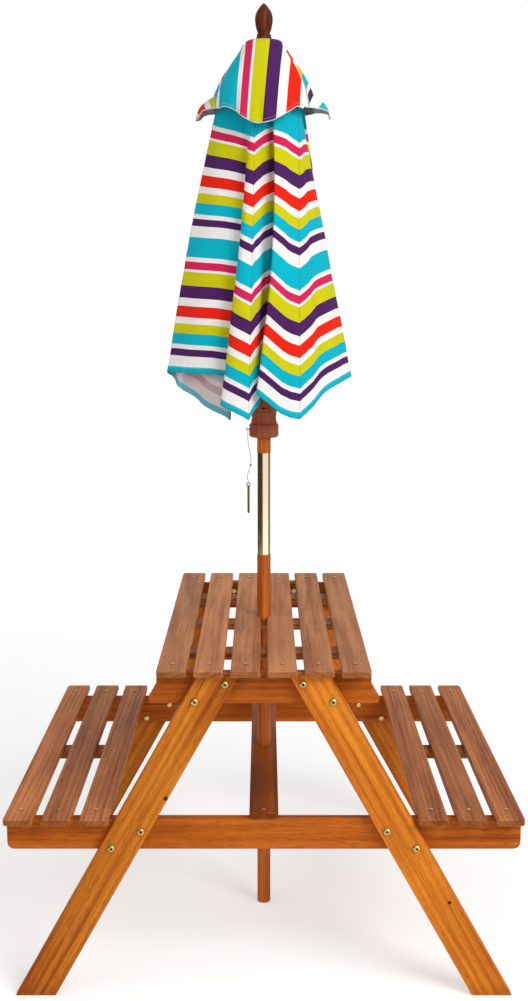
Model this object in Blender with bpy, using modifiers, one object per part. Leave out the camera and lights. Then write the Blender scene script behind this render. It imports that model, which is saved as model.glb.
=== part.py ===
"""Kids picnic table with two benches and a closed wooden parasol that stands through its top.

Units are metres, +Z is up, and the origin is on the ground at the middle of the table.
X runs across the benches, Y along the slats, and the front is at -Y.
"""

import math

import bmesh
import bpy
import numpy as np
from mathutils import Matrix, Vector

# Clearances
FIT_GAP = 0.0003
PIVOT_GAP = 0.0004
SLIDE_GAP = 0.0006
HOLE_GAP = 0.0008
CUT_OVERRUN = 0.002

# Slats
SLAT_WIDTH = 0.050
SLAT_THICKNESS = 0.012
SLAT_LENGTH = 0.790
SLAT_EDGE = 0.0016
SLAT_CORNER = 0.006
BATTEN_INSET = 0.006

# Table top
TOP_HEIGHT = 0.600
TOP_SLATS = 6
TOP_SLAT_GAP = 0.013
TOP_BATTEN_INSET = 0.180

# Benches, whose inner slats lie just outside the legs
BENCH_HEIGHT = 0.336
BENCH_SLATS = 3
BENCH_SLAT_GAP = 0.016
BENCH_LEG_GAP = 0.0082

# Legs, between their middles on the ground and under the top
LEG_WIDTH = 0.0617
LEG_THICKNESS = 0.018
LEG_FOOT_SPREAD = 0.809
LEG_TOP_SPREAD = 0.1555
LEG_INSET = 0.020
LEG_EDGE = 0.0012

# Rails and cleats between the legs
RAIL_THICKNESS = 0.015
RAIL_HEIGHT = 0.057
RAIL_CORNER = 0.012
CLEAT_HEIGHT = 0.056
CLEAT_OVERHANG = 0.072
CLEAT_FLARE = 0.013
BOARD_EDGE = 0.0010

# Stretcher between the seat rails
STRETCHER_WIDTH = 0.051
STRETCHER_OVERHANG = 0.0043

# Bolts
BOLT_HEAD_RADIUS = 0.0065
BOLT_HEAD_HEIGHT = 0.0035
BOLT_SHANK_RADIUS = 0.003
BOLT_NUT_RADIUS = 0.0055
BOLT_NUT_HEIGHT = 0.004
BOLT_PAIR_X = 0.026
BOLT_PAIR_Z = 0.0155
BOLT_PAIR_SHIFT = 0.003
BOLT_PAIR_DROP = 0.004

# Parasol pole: two lengths of wood that meet inside a metal sleeve
POLE_RADIUS = 0.01325
LOWER_POLE_LENGTH = 0.7233
UPPER_POLE_LENGTH = 0.7687
SLEEVE_LENGTH = 0.200
SLEEVE_STEP = 0.00025
SLEEVE_WALL = 0.0010
SPIGOT_GAP = 0.002
POLE_EDGE = 0.0012
TOP_SPIGOT_RADIUS = 0.0100

# Finial and the cloth stack under it
FINIAL_HEIGHT = 0.065
FINIAL_BUD_RADIUS = 0.0165
FINIAL_NECK_RADIUS = 0.0098
FINIAL_NECK_HEIGHT = 0.0156
FINIAL_COLLAR_RADIUS = 0.0145
FINIAL_COLLAR_HEIGHT = 0.0085
FINIAL_SOCKET = 0.0075
CLOTH_THICKNESS = 0.0010

# Hub, ribs, struts and runner
RIB_COUNT = 8
RIB_TURN = math.radians(-16.0)
RIB_LENGTH = 0.676
RIB_WIDTH = 0.009
RIB_DEPTH = 0.011
RIB_TIP_SHARE = 0.4255
HUB_RADIUS = 0.030
HUB_HEIGHT = 0.040
HUB_PIVOT_RADIUS = 0.0235
HUB_PIVOT_DEPTH = 0.016
HUB_EDGE = 0.003
STRUT_LENGTH = 0.330
STRUT_REACH = 0.330
STRUT_WIDTH = 0.007
STRUT_DEPTH = 0.009
RUNNER_PIVOT_RADIUS = 0.0245
RUNNER_FLANGE_RADIUS = 0.032
RUNNER_FLANGE_DROP = 0.0095
RUNNER_FLANGE_RISE = 0.006
RUNNER_NECK_RADIUS = 0.0250
RUNNER_NECK_LENGTH = 0.0259
RUNNER_RING_RADIUS = 0.0285
RUNNER_RING_HEIGHT = 0.026

# Cloth: the middle of a gore stops short of the rib's tip, and the widest flap reaches out
RIB_SHOW = 0.034
GORE_HALF_ANGLE = math.radians(24.0)
FLAP_REACH = 0.188
SHOULDER_EASE = 0.0065
SHOULDER_DROP = 0.009
RING_EASE = 0.0035
CAP_DROP = 0.160
CAP_TUCK = 0.0025
CAP_EAR = 0.032
CAP_EASE = 0.0075
CAP_SHOULDER_DROP = 0.003

# Locking pin on its cord, hung from a tack in the runner's ring
TACK_SHANK_RADIUS = 0.0011
TACK_REACH = 0.006
TACK_HEAD_RADIUS = 0.0032
TACK_HEAD_HEIGHT = 0.0015
TACK_DROP = 0.011
CORD_RADIUS = 0.0006
PIN_RADIUS = 0.0023
PIN_LENGTH = 0.0568
PIN_EYE_RADIUS = 0.0022
PIN_EYE_WIRE = 0.0010
PIN_DROP = 0.108
PIN_STAND_OFF = 0.0015

# Facets
POLE_SEGMENTS = 24
BOLT_SEGMENTS = 10
HOLE_SEGMENTS = 16
CAP_COLUMNS = 48
CORD_POINTS = 42
ROUTE_STEPS = 12
CORNER_STEPS = 4
FLARE_STEPS = 8

# The canopy's folds. Each row is a point of the cloth, going from the front left seam round by
# the left: its place in its gore, with seams at whole numbers and mid gores halfway, then its
# X and Y at the hem and at the shoulder line, as shares of the widest flap's reach.
FOLD_SHARES = (
    (0.00, -0.152, -0.628, -0.085, -0.362),
    (0.06, -0.298, -0.622, -0.117, -0.356),
    (0.11, -0.415, -0.580, -0.150, -0.338),
    (0.14, -0.424, -0.532, -0.154, -0.311),
    (0.17, -0.293, -0.537, -0.117, -0.316),
    (0.20, -0.215, -0.516, -0.098, -0.308),
    (0.22, -0.218, -0.481, -0.100, -0.288),
    (0.26, -0.319, -0.447, -0.149, -0.268),
    (0.34, -0.532, -0.367, -0.255, -0.223),
    (0.42, -0.771, -0.250, -0.383, -0.154),
    (0.48, -0.986, -0.116, -0.489, -0.073),
    (0.50, -0.998, -0.064, -0.500, -0.037),
    (0.53, -0.960, -0.048, -0.473, -0.032),
    (0.60, -0.798, -0.101, -0.394, -0.059),
    (0.75, -0.612, -0.186, -0.309, -0.101),
    (1.00, -0.457, -0.250, -0.245, -0.133),
    (1.20, -0.558, -0.106, -0.277, -0.058),
    (1.38, -0.696, 0.090, -0.346, 0.043),
    (1.48, -0.787, 0.234, -0.388, 0.114),
    (1.52, -0.771, 0.271, -0.380, 0.133),
    (1.64, -0.649, 0.218, -0.325, 0.109),
    (2.00, -0.489, 0.138, -0.252, 0.072),
    (2.20, -0.543, 0.266, -0.271, 0.133),
    (2.38, -0.596, 0.505, -0.298, 0.252),
    (2.48, -0.590, 0.676, -0.295, 0.338),
    (2.52, -0.553, 0.681, -0.277, 0.340),
    (2.66, -0.452, 0.548, -0.226, 0.274),
    (3.00, -0.245, 0.447, -0.128, 0.234),
    (3.20, -0.234, 0.559, -0.117, 0.279),
    (3.38, -0.181, 0.771, -0.090, 0.386),
    (3.48, -0.117, 0.872, -0.059, 0.436),
    (3.52, -0.069, 0.862, -0.035, 0.431),
    (3.66, -0.021, 0.718, -0.011, 0.359),
    (4.00, 0.133, 0.495, 0.069, 0.255),
    (4.20, 0.202, 0.585, 0.101, 0.293),
    (4.38, 0.335, 0.713, 0.168, 0.356),
    (4.48, 0.447, 0.755, 0.223, 0.378),
    (4.52, 0.468, 0.713, 0.234, 0.356),
    (4.66, 0.447, 0.505, 0.223, 0.253),
    (5.00, 0.447, 0.250, 0.245, 0.133),
    (5.20, 0.548, 0.340, 0.274, 0.170),
    (5.38, 0.691, 0.426, 0.346, 0.213),
    (5.48, 0.787, 0.436, 0.394, 0.218),
    (5.52, 0.782, 0.388, 0.391, 0.194),
    (5.66, 0.644, 0.170, 0.322, 0.085),
    (6.00, 0.511, -0.101, 0.282, -0.048),
    (6.15, 0.590, -0.053, 0.319, -0.021),
    (6.34, 0.766, 0.021, 0.372, 0.016),
    (6.47, 0.883, 0.016, 0.410, 0.011),
    (6.53, 0.872, -0.080, 0.410, -0.048),
    (6.66, 0.723, -0.277, 0.394, -0.112),
    (6.82, 0.537, -0.457, 0.372, -0.165),
    (7.00, 0.354, -0.628, 0.340, -0.218),
    (7.06, 0.213, -0.644, 0.266, -0.277),
    (7.12, 0.064, -0.660, 0.181, -0.330),
    (7.18, -0.059, -0.654, 0.096, -0.356),
    (7.21, -0.069, -0.606, 0.090, -0.327),
    (7.26, 0.053, -0.574, 0.128, -0.303),
    (7.34, 0.149, -0.479, 0.149, -0.266),
    (7.45, 0.106, -0.330, 0.074, -0.245),
    (7.52, 0.064, -0.309, 0.032, -0.245),
    (7.64, 0.021, -0.399, 0.000, -0.266),
    (7.78, 0.000, -0.505, -0.011, -0.298),
    (7.90, -0.059, -0.569, -0.043, -0.335),
)
# The cleat's flare: where it starts and ends, as shares of the cleat's height.
FLARE_START_SHARE = 0.34
FLARE_END_SHARE = 0.74
# Shares of the way from the apex to the hem: the rows of the cloth, its shoulder, and the line
# at which the folds stand as the table's last two columns say.
ROW_SHARES = (0.0, 0.03, 0.06, 0.10, 0.15, 0.22, 0.40, 0.60, 0.80, 1.0)
SHOULDER_SHARE = 0.06
FOLD_SHARE = 0.22
FOLD_REACH_SHARE = 0.5
# The cap: its rows, its shoulder, how much its hem waves, and how its corners and front hang.
CAP_ROW_SHARES = (0.0, 0.10, 0.20, 0.34, 0.50, 0.68, 0.84, 0.92, 1.0)
CAP_SHOULDER_SHARE = 0.20
CAP_EAR_SHARE = 0.80
CAP_WAVE_SHARE = 0.03
CAP_HEM_SHARE = 0.80
CAP_FRONT_SHARE = 0.20
CAP_CORNER_SHARE = 0.06
CAP_SWELL_POWER = 1.6
CAP_FALL_POWER = 1.25
# The finial's bud: heights above its bottom and radii, as shares of its height and widest radius.
BUD_SHARES = (
    (1.000, 0.06), (0.955, 0.30), (0.860, 0.62), (0.740, 0.88), (0.600, 1.00),
    (0.470, 0.93), (0.360, 0.74), (0.300, 0.60),
)
# The cord's route, from the tack to the eye of the pin.
CORD_ROUTE = (
    (-0.0308, 0.0000, 0.9676),
    (-0.0309, 0.0000, 0.9640),
    (-0.0311, -0.0003, 0.9580),
    (-0.0310, -0.0007, 0.9500),
    (-0.0300, -0.0010, 0.9390),
    (-0.0280, -0.0008, 0.9280),
    (-0.0262, -0.0004, 0.9180),
    (-0.0252, 0.0000, 0.9090),
    (-0.0252, 0.0004, 0.9015),
    (-0.0268, 0.0006, 0.8940),
    (-0.0294, 0.0006, 0.8870),
    (-0.0316, 0.0004, 0.8805),
    (-0.0326, 0.0002, 0.8745),
    (-0.0312, 0.0000, 0.8700),
    (-0.0302, 0.0000, 0.8675),
    (-0.0300, 0.0000, 0.8657),
)

# Sizes that follow from the driving ones
UNDER_TOP = TOP_HEIGHT - SLAT_THICKNESS - FIT_GAP
UNDER_BENCH = BENCH_HEIGHT - SLAT_THICKNESS - FIT_GAP
LEG_SLOPE = math.atan((LEG_FOOT_SPREAD - LEG_TOP_SPREAD) / 2 / UNDER_TOP)
LEG_HALF_X = LEG_WIDTH / 2 / math.cos(LEG_SLOPE)
LEG_FACE_Y = SLAT_LENGTH / 2 - LEG_INSET
LEG_BACK_Y = LEG_FACE_Y - LEG_THICKNESS
RAIL_FACE_Y = LEG_BACK_Y - FIT_GAP
RAIL_BACK_Y = RAIL_FACE_Y - RAIL_THICKNESS
RAIL_MIDDLE_Y = (RAIL_FACE_Y + RAIL_BACK_Y) / 2
CLEAT_TOP_LENGTH = LEG_TOP_SPREAD + 2 * (LEG_HALF_X + CLEAT_OVERHANG)
STRETCHER_LENGTH = 2 * (RAIL_FACE_Y + STRETCHER_OVERHANG)
TOP_PITCH = SLAT_WIDTH + TOP_SLAT_GAP
TOP_WIDTH = TOP_SLATS * TOP_PITCH - TOP_SLAT_GAP
BENCH_PITCH = SLAT_WIDTH + BENCH_SLAT_GAP
BENCH_WIDTH = BENCH_SLATS * BENCH_PITCH - BENCH_SLAT_GAP
LEG_X_UNDER_BENCH = LEG_FOOT_SPREAD / 2 - UNDER_BENCH * math.tan(LEG_SLOPE) + LEG_HALF_X
BENCH_MIDDLE_X = LEG_X_UNDER_BENCH + BENCH_LEG_GAP + BENCH_WIDTH / 2
BENCH_SPAN = 2 * BENCH_MIDDLE_X + BENCH_WIDTH
POLE_HOLE_RADIUS = POLE_RADIUS + HOLE_GAP
SLEEVE_RADIUS = POLE_RADIUS - SLEEVE_STEP
SPIGOT_RADIUS = SLEEVE_RADIUS - SLEEVE_WALL - FIT_GAP
SPIGOT_LENGTH = SLEEVE_LENGTH / 2 - SPIGOT_GAP
SLEEVE_TOP = LOWER_POLE_LENGTH + SLEEVE_LENGTH
FINIAL_BOTTOM = SLEEVE_TOP + UPPER_POLE_LENGTH
CAP_TOP = FINIAL_BOTTOM - FIT_GAP
CANOPY_TOP = CAP_TOP - CLOTH_THICKNESS - FIT_GAP
HUB_TOP = CANOPY_TOP - CLOTH_THICKNESS - FIT_GAP
HUB_BOTTOM = HUB_TOP - HUB_HEIGHT
RIB_PIVOT_Z = HUB_TOP - HUB_PIVOT_DEPTH
RIB_TIP_RADIUS = FLAP_REACH * RIB_TIP_SHARE
RIB_REACH = RIB_LENGTH - RIB_DEPTH / 2
RIB_LEAN = math.asin((RIB_TIP_RADIUS - HUB_PIVOT_RADIUS) / RIB_REACH)
JOINT_RADIUS = HUB_PIVOT_RADIUS + STRUT_REACH * math.sin(RIB_LEAN)
STRUT_LEAN = math.asin((JOINT_RADIUS - RUNNER_PIVOT_RADIUS) / STRUT_LENGTH)
STRUT_SIDE = RIB_WIDTH / 2 + PIVOT_GAP + STRUT_WIDTH / 2
STRUT_PIVOT_Z = RIB_PIVOT_Z - STRUT_REACH * math.cos(RIB_LEAN) - STRUT_LENGTH * math.cos(STRUT_LEAN)
RUNNER_TOP = STRUT_PIVOT_Z + RUNNER_FLANGE_RISE
RUNNER_FLANGE_BOTTOM = STRUT_PIVOT_Z - RUNNER_FLANGE_DROP
RUNNER_RING_TOP = RUNNER_FLANGE_BOTTOM - RUNNER_NECK_LENGTH
RUNNER_BOTTOM = RUNNER_RING_TOP - RUNNER_RING_HEIGHT
MID_GORE_LENGTH = RIB_LENGTH - RIB_SHOW
SHOULDER_RADIUS = HUB_RADIUS + SHOULDER_EASE
RING_RADIUS = TOP_SPIGOT_RADIUS + RING_EASE
CAP_SHOULDER_RADIUS = SHOULDER_RADIUS + CAP_EASE
CAP_DEPTH_SHARE = (CAP_DROP / MID_GORE_LENGTH - FOLD_SHARE) / (1 - FOLD_SHARE)
CAP_REACH_SHARE = FOLD_REACH_SHARE + (1 - FOLD_REACH_SHARE) * CAP_DEPTH_SHARE
CAP_RADIUS = FLAP_REACH * CAP_REACH_SHARE - CAP_TUCK
TACK_HEIGHT = RUNNER_RING_TOP - TACK_DROP
PIN_EYE_HEIGHT = TACK_HEIGHT - PIN_DROP
PIN_X = -(RUNNER_RING_RADIUS + PIN_STAND_OFF)


def clear_scene():
    for obj in list(bpy.data.objects):
        bpy.data.objects.remove(obj, do_unlink=True)


def new_collection(name, hidden=False):
    collection = bpy.data.collections.new(name)
    bpy.context.scene.collection.children.link(collection)
    collection.hide_render = hidden
    return collection


clear_scene()
PARTS = new_collection("kids_picnic_table")
CUTTERS = new_collection("cutters", hidden=True)


def make_material(name, color, roughness, metallic=0.0):
    material = bpy.data.materials.new(name)
    material.use_nodes = True
    shader = material.node_tree.nodes["Principled BSDF"]
    shader.inputs["Base Color"].default_value = (*color, 1.0)
    shader.inputs["Roughness"].default_value = roughness
    shader.inputs["Metallic"].default_value = metallic
    material.diffuse_color = (*color, 1.0)
    return material


TOP_WOOD = make_material("top_wood", (0.30, 0.12, 0.055), 0.55)
BENCH_WOOD = make_material("bench_wood", (0.27, 0.11, 0.045), 0.55)
LEG_WOOD = make_material("leg_wood", (0.52, 0.20, 0.05), 0.5)
RAIL_WOOD = make_material("rail_wood", (0.40, 0.14, 0.035), 0.5)
POLE_WOOD = make_material("pole_wood", (0.34, 0.09, 0.03), 0.5)
TURNED_WOOD = make_material("turned_wood", (0.20, 0.045, 0.018), 0.45)
SLEEVE_METAL = make_material("sleeve_metal", (0.60, 0.50, 0.34), 0.3, 1.0)
CANOPY_CLOTH = make_material("canopy_cloth", (0.02, 0.48, 0.58), 0.85)
CAP_CLOTH = make_material("cap_cloth", (0.70, 0.66, 0.05), 0.85)
CORD_FIBRE = make_material("cord_fibre", (0.65, 0.60, 0.50), 0.9)
PIN_METAL = make_material("pin_metal", (0.45, 0.38, 0.25), 0.35, 1.0)


def add_object(name, mesh, material, collection=PARTS):
    obj = bpy.data.objects.new(name, mesh)
    collection.objects.link(obj)
    if material:
        mesh.materials.append(material)
    return obj


def box_mesh(name, size, centre=(0, 0, 0)):
    """A box of the given size, with its centre at a point of its own space."""
    shape = bmesh.new()
    bmesh.ops.create_cube(shape, size=1)
    bmesh.ops.scale(shape, vec=size, verts=shape.verts)
    bmesh.ops.translate(shape, vec=centre, verts=shape.verts)
    mesh = bpy.data.meshes.new(name)
    shape.to_mesh(mesh)
    shape.free()
    return mesh


def bevel(obj, width, segments=1):
    modifier = obj.modifiers.new("rounded edges", "BEVEL")
    modifier.width = width
    modifier.segments = segments
    modifier.limit_method = "ANGLE"
    modifier.angle_limit = math.radians(40)
    return modifier


def round_corners(mesh, side):
    """Rounds the two upright edges on a board's outer side."""
    shape = bmesh.new()
    shape.from_mesh(mesh)
    upright = [
        edge for edge in shape.edges
        if all(vertex.co.x * side > 0 for vertex in edge.verts)
        and (edge.verts[0].co - edge.verts[1].co).xy.length < FIT_GAP
    ]
    bmesh.ops.bevel(
        shape, geom=upright, offset=SLAT_CORNER, segments=CORNER_STEPS, profile=0.5, affect="EDGES"
    )
    shape.to_mesh(mesh)
    shape.free()


def board(name, size, location, material, edge=SLAT_EDGE, outer=0):
    mesh = box_mesh(name, size)
    if outer:
        round_corners(mesh, outer)
    obj = add_object(name, mesh, material)
    obj.location = location
    bevel(obj, edge)
    return obj


def cutter(name, mesh, location=(0, 0, 0), rotation=(0, 0, 0)):
    obj = add_object(name, mesh, None, CUTTERS)
    obj.location = location
    obj.rotation_euler = rotation
    obj.hide_render = True
    obj.display_type = "WIRE"
    return obj


def rod_mesh(name, radius, length, segments):
    shape = bmesh.new()
    bmesh.ops.create_cone(
        shape, cap_ends=True, segments=segments, radius1=radius, radius2=radius, depth=length
    )
    mesh = bpy.data.meshes.new(name)
    shape.to_mesh(mesh)
    shape.free()
    return mesh


def combine(obj, other, operation):
    modifier = obj.modifiers.new(f"{operation.lower()} {other.name}", "BOOLEAN")
    modifier.operation = operation
    modifier.solver = "EXACT"
    modifier.object = other


def plate(name, points, thickness, material):
    """A flat outline in X and Z, extruded evenly along Y and made a welded mesh."""
    curve = bpy.data.curves.new(name, "CURVE")
    curve.dimensions = "2D"
    curve.fill_mode = "BOTH"
    curve.extrude = thickness / 2
    spline = curve.splines.new("POLY")
    spline.points.add(len(points) - 1)
    for point, (x, z) in zip(spline.points, points):
        point.co = (x, z, 0, 1)
    spline.use_cyclic_u = True
    source = bpy.data.objects.new(name + "_outline", curve)
    PARTS.objects.link(source)
    bpy.context.view_layer.update()
    graph = bpy.context.evaluated_depsgraph_get()
    mesh = bpy.data.meshes.new_from_object(source.evaluated_get(graph))
    bpy.data.objects.remove(source, do_unlink=True)
    bpy.data.curves.remove(curve)
    shape = bmesh.new()
    shape.from_mesh(mesh)
    bmesh.ops.remove_doubles(shape, verts=shape.verts, dist=FIT_GAP / 10)
    bmesh.ops.rotate(shape, matrix=Matrix.Rotation(math.radians(90), 3, "X"), verts=shape.verts)
    bmesh.ops.recalc_face_normals(shape, faces=shape.faces)
    shape.to_mesh(mesh)
    shape.free()
    mesh.materials.clear()
    mesh.name = name
    return add_object(name, mesh, material)


def turned(name, profile, material, segments=POLE_SEGMENTS, ring=False, collection=PARTS):
    """A profile of radius and height, from the top down its outer side, turned about Z."""
    mesh = bpy.data.meshes.new(name)
    count = len(profile)
    edges = [(i, i + 1) for i in range(count - 1)]
    if ring:
        edges.append((count - 1, 0))
    mesh.from_pydata([(radius, 0, height) for radius, height in profile], edges, [])
    obj = add_object(name, mesh, material, collection)
    modifier = obj.modifiers.new("turning", "SCREW")
    modifier.axis = "Z"
    modifier.angle = math.radians(360)
    modifier.steps = segments
    modifier.render_steps = segments
    modifier.use_merge_vertices = True
    modifier.merge_threshold = FIT_GAP / 10
    modifier.use_smooth_shade = True
    return obj


def arc(centre, radius, start, end, steps):
    """Points on an arc, with its angles in degrees."""
    angles = [math.radians(start + (end - start) * i / steps) for i in range(steps + 1)]
    return [
        (centre[0] + radius * math.cos(angle), centre[1] + radius * math.sin(angle))
        for angle in angles
    ]


def leg_centre_x(height):
    """Distance of the leg's centreline from the middle at a height."""
    return LEG_FOOT_SPREAD / 2 - height * math.tan(LEG_SLOPE)


def bolt_places(height):
    """X and Z of the two bolts of one leg on a rail whose middle is at this height."""
    middle_z = height - BOLT_PAIR_DROP
    middle_x = leg_centre_x(middle_z) - BOLT_PAIR_SHIFT
    return [
        (middle_x - BOLT_PAIR_X, middle_z + BOLT_PAIR_Z),
        (middle_x + BOLT_PAIR_X, middle_z - BOLT_PAIR_Z),
    ]


RAIL_MIDDLE_Z = UNDER_BENCH - RAIL_HEIGHT / 2
CLEAT_MIDDLE_Z = UNDER_TOP - CLEAT_HEIGHT / 2
ALL_BOLTS = bolt_places(RAIL_MIDDLE_Z) + bolt_places(CLEAT_MIDDLE_Z)


def bolt_body(name):
    """A domed bolt with its nut, to be joined to a leg: its face at zero, its head along +Z."""
    reach = LEG_THICKNESS + FIT_GAP + RAIL_THICKNESS + FIT_GAP
    dome = [
        (BOLT_HEAD_RADIUS * math.cos(angle), BOLT_HEAD_HEIGHT * math.sin(angle))
        for angle in (math.radians(90), math.radians(55), math.radians(25))
    ]
    dome[0] = (0, BOLT_HEAD_HEIGHT)
    profile = dome + [
        (BOLT_HEAD_RADIUS, -BOLT_HEAD_HEIGHT / 10),
        (BOLT_SHANK_RADIUS, -BOLT_HEAD_HEIGHT / 10),
        (BOLT_SHANK_RADIUS, -reach),
        (BOLT_NUT_RADIUS, -reach),
        (BOLT_NUT_RADIUS, -reach - BOLT_NUT_HEIGHT * 3 / 4),
        (BOLT_NUT_RADIUS * 3 / 4, -reach - BOLT_NUT_HEIGHT),
        (0, -reach - BOLT_NUT_HEIGHT),
    ]
    obj = turned(name, profile, None, BOLT_SEGMENTS, collection=CUTTERS)
    obj.hide_render = True
    obj.display_type = "WIRE"
    return obj


def make_slats():
    first_x = -TOP_WIDTH / 2 + SLAT_WIDTH / 2
    hole = cutter(
        "pole_hole",
        rod_mesh("pole_hole", POLE_HOLE_RADIUS, TOP_HEIGHT, POLE_SEGMENTS),
        (0, 0, TOP_HEIGHT / 2 + CUT_OVERRUN),
    )
    for index in range(TOP_SLATS):
        x = first_x + index * TOP_PITCH
        size = (SLAT_WIDTH, SLAT_LENGTH, SLAT_THICKNESS)
        place = (x, 0, TOP_HEIGHT - SLAT_THICKNESS / 2)
        outer = (index == TOP_SLATS - 1) - (index == 0)
        slat = board(f"top_slat_{index + 1}", size, place, TOP_WOOD, outer=outer)
        if abs(x) < SLAT_WIDTH / 2 + POLE_HOLE_RADIUS:
            combine(slat, hole, "DIFFERENCE")
    batten_y = SLAT_LENGTH / 2 - TOP_BATTEN_INSET
    for index, y in enumerate((-batten_y, 0, batten_y)):
        size = (TOP_WIDTH - 2 * BATTEN_INSET, SLAT_WIDTH, SLAT_THICKNESS)
        place = (0, y, UNDER_TOP - SLAT_THICKNESS / 2)
        batten = board(f"top_batten_{index + 1}", size, place, TOP_WOOD)
        if y == 0:
            combine(batten, hole, "DIFFERENCE")
    for side, name in ((-1, "left"), (1, "right")):
        for index in range(BENCH_SLATS):
            x = BENCH_MIDDLE_X - BENCH_WIDTH / 2 + SLAT_WIDTH / 2 + index * BENCH_PITCH
            size = (SLAT_WIDTH, SLAT_LENGTH, SLAT_THICKNESS)
            place = (side * x, 0, BENCH_HEIGHT - SLAT_THICKNESS / 2)
            outer = side * (index == BENCH_SLATS - 1)
            board(f"bench_{name}_slat_{index + 1}", size, place, BENCH_WOOD, outer=outer)
        size = (BENCH_WIDTH - 2 * BATTEN_INSET, SLAT_WIDTH, SLAT_THICKNESS)
        place = (side * BENCH_MIDDLE_X, 0, UNDER_BENCH - SLAT_THICKNESS / 2)
        board(f"bench_batten_{name}", size, place, BENCH_WOOD)
    size = (STRETCHER_WIDTH, STRETCHER_LENGTH, SLAT_THICKNESS)
    place = (0, 0, UNDER_BENCH + FIT_GAP + SLAT_THICKNESS / 2)
    stretcher = board("stretcher", size, place, RAIL_WOOD)
    combine(stretcher, hole, "DIFFERENCE")


def cut_bolt_holes(obj, places, side):
    for index, (x, z) in enumerate(places):
        for mirror in (-1, 1):
            name = f"{obj.name}_hole_{index}_{'left' if mirror < 0 else 'right'}"
            radius = BOLT_SHANK_RADIUS + FIT_GAP
            length = RAIL_THICKNESS + 2 * CUT_OVERRUN
            hole = cutter(name, rod_mesh(name, radius, length, HOLE_SEGMENTS))
            hole.location = (mirror * x, side * RAIL_MIDDLE_Y, z)
            hole.rotation_euler = (math.radians(90), 0, 0)
            combine(obj, hole, "DIFFERENCE")


def make_rails():
    half = BENCH_SPAN / 2
    low = UNDER_BENCH - RAIL_HEIGHT
    corner = RAIL_CORNER
    rail_outline = (
        [(-half, UNDER_BENCH)]
        + arc((-half + corner, low + corner), corner, 180, 270, CORNER_STEPS)
        + arc((half - corner, low + corner), corner, 270, 360, CORNER_STEPS)
        + [(half, UNDER_BENCH)]
    )
    # The cleat's ends stand upright at the top and flare out in a hollow quarter round
    right = [(CLEAT_TOP_LENGTH / 2, UNDER_TOP)]
    for i in range(FLARE_STEPS + 1):
        turn = math.pi / 2 * i / FLARE_STEPS
        share = FLARE_START_SHARE + (FLARE_END_SHARE - FLARE_START_SHARE) * math.sin(turn)
        flare = CLEAT_FLARE * (1 - math.cos(turn))
        right.append((CLEAT_TOP_LENGTH / 2 + flare, UNDER_TOP - CLEAT_HEIGHT * share))
    right.append((CLEAT_TOP_LENGTH / 2 + CLEAT_FLARE, UNDER_TOP - CLEAT_HEIGHT))
    cleat_outline = right + [(-x, z) for x, z in reversed(right)]
    for side, name in ((-1, "front"), (1, "rear")):
        rail = plate(f"seat_rail_{name}", rail_outline, RAIL_THICKNESS, RAIL_WOOD)
        cleat = plate(f"table_cleat_{name}", cleat_outline, RAIL_THICKNESS, RAIL_WOOD)
        for obj, height in ((rail, RAIL_MIDDLE_Z), (cleat, CLEAT_MIDDLE_Z)):
            obj.location = (0, side * RAIL_MIDDLE_Y, 0)
            bevel(obj, BOARD_EDGE)
            cut_bolt_holes(obj, bolt_places(height), side)


def make_legs():
    for depth_side, depth_name in ((-1, "front"), (1, "rear")):
        for side, side_name in ((-1, "left"), (1, "right")):
            outline = [
                (side * (leg_centre_x(z) + edge * LEG_HALF_X), z)
                for z, edge in ((0, -1), (0, 1), (UNDER_TOP, 1), (UNDER_TOP, -1))
            ]
            leg = plate(f"leg_{depth_name}_{side_name}", outline, LEG_THICKNESS, LEG_WOOD)
            leg.location = (0, depth_side * (LEG_FACE_Y - LEG_THICKNESS / 2), 0)
            bevel(leg, LEG_EDGE)
            for index, (x, z) in enumerate(ALL_BOLTS):
                bolt = bolt_body(f"{leg.name}_bolt_{index}")
                bolt.location = (side * x, depth_side * LEG_FACE_Y, z)
                bolt.rotation_euler = (math.radians(-90) * depth_side, 0, 0)
                combine(leg, bolt, "UNION")


def make_pole():
    turned(
        "pole_lower",
        [
            (0, LOWER_POLE_LENGTH + SPIGOT_LENGTH),
            (SPIGOT_RADIUS, LOWER_POLE_LENGTH + SPIGOT_LENGTH),
            (SPIGOT_RADIUS, LOWER_POLE_LENGTH - FIT_GAP),
            (POLE_RADIUS, LOWER_POLE_LENGTH - FIT_GAP),
            (POLE_RADIUS, POLE_EDGE),
            (POLE_RADIUS - POLE_EDGE, 0),
            (0, 0),
        ],
        POLE_WOOD,
    )
    bore = SLEEVE_RADIUS - SLEEVE_WALL
    turned(
        "pole_sleeve",
        [
            (SLEEVE_RADIUS, SLEEVE_TOP),
            (SLEEVE_RADIUS, LOWER_POLE_LENGTH),
            (bore, LOWER_POLE_LENGTH),
            (bore, SLEEVE_TOP),
        ],
        SLEEVE_METAL,
        ring=True,
    )
    turned(
        "pole_upper",
        [
            (0, FINIAL_BOTTOM + FINIAL_SOCKET - FIT_GAP),
            (TOP_SPIGOT_RADIUS, FINIAL_BOTTOM + FINIAL_SOCKET - FIT_GAP),
            (TOP_SPIGOT_RADIUS, HUB_BOTTOM - FIT_GAP),
            (POLE_RADIUS, HUB_BOTTOM - FIT_GAP),
            (POLE_RADIUS, SLEEVE_TOP + FIT_GAP),
            (SPIGOT_RADIUS, SLEEVE_TOP + FIT_GAP),
            (SPIGOT_RADIUS, SLEEVE_TOP - SPIGOT_LENGTH),
            (0, SLEEVE_TOP - SPIGOT_LENGTH),
        ],
        POLE_WOOD,
    )


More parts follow.
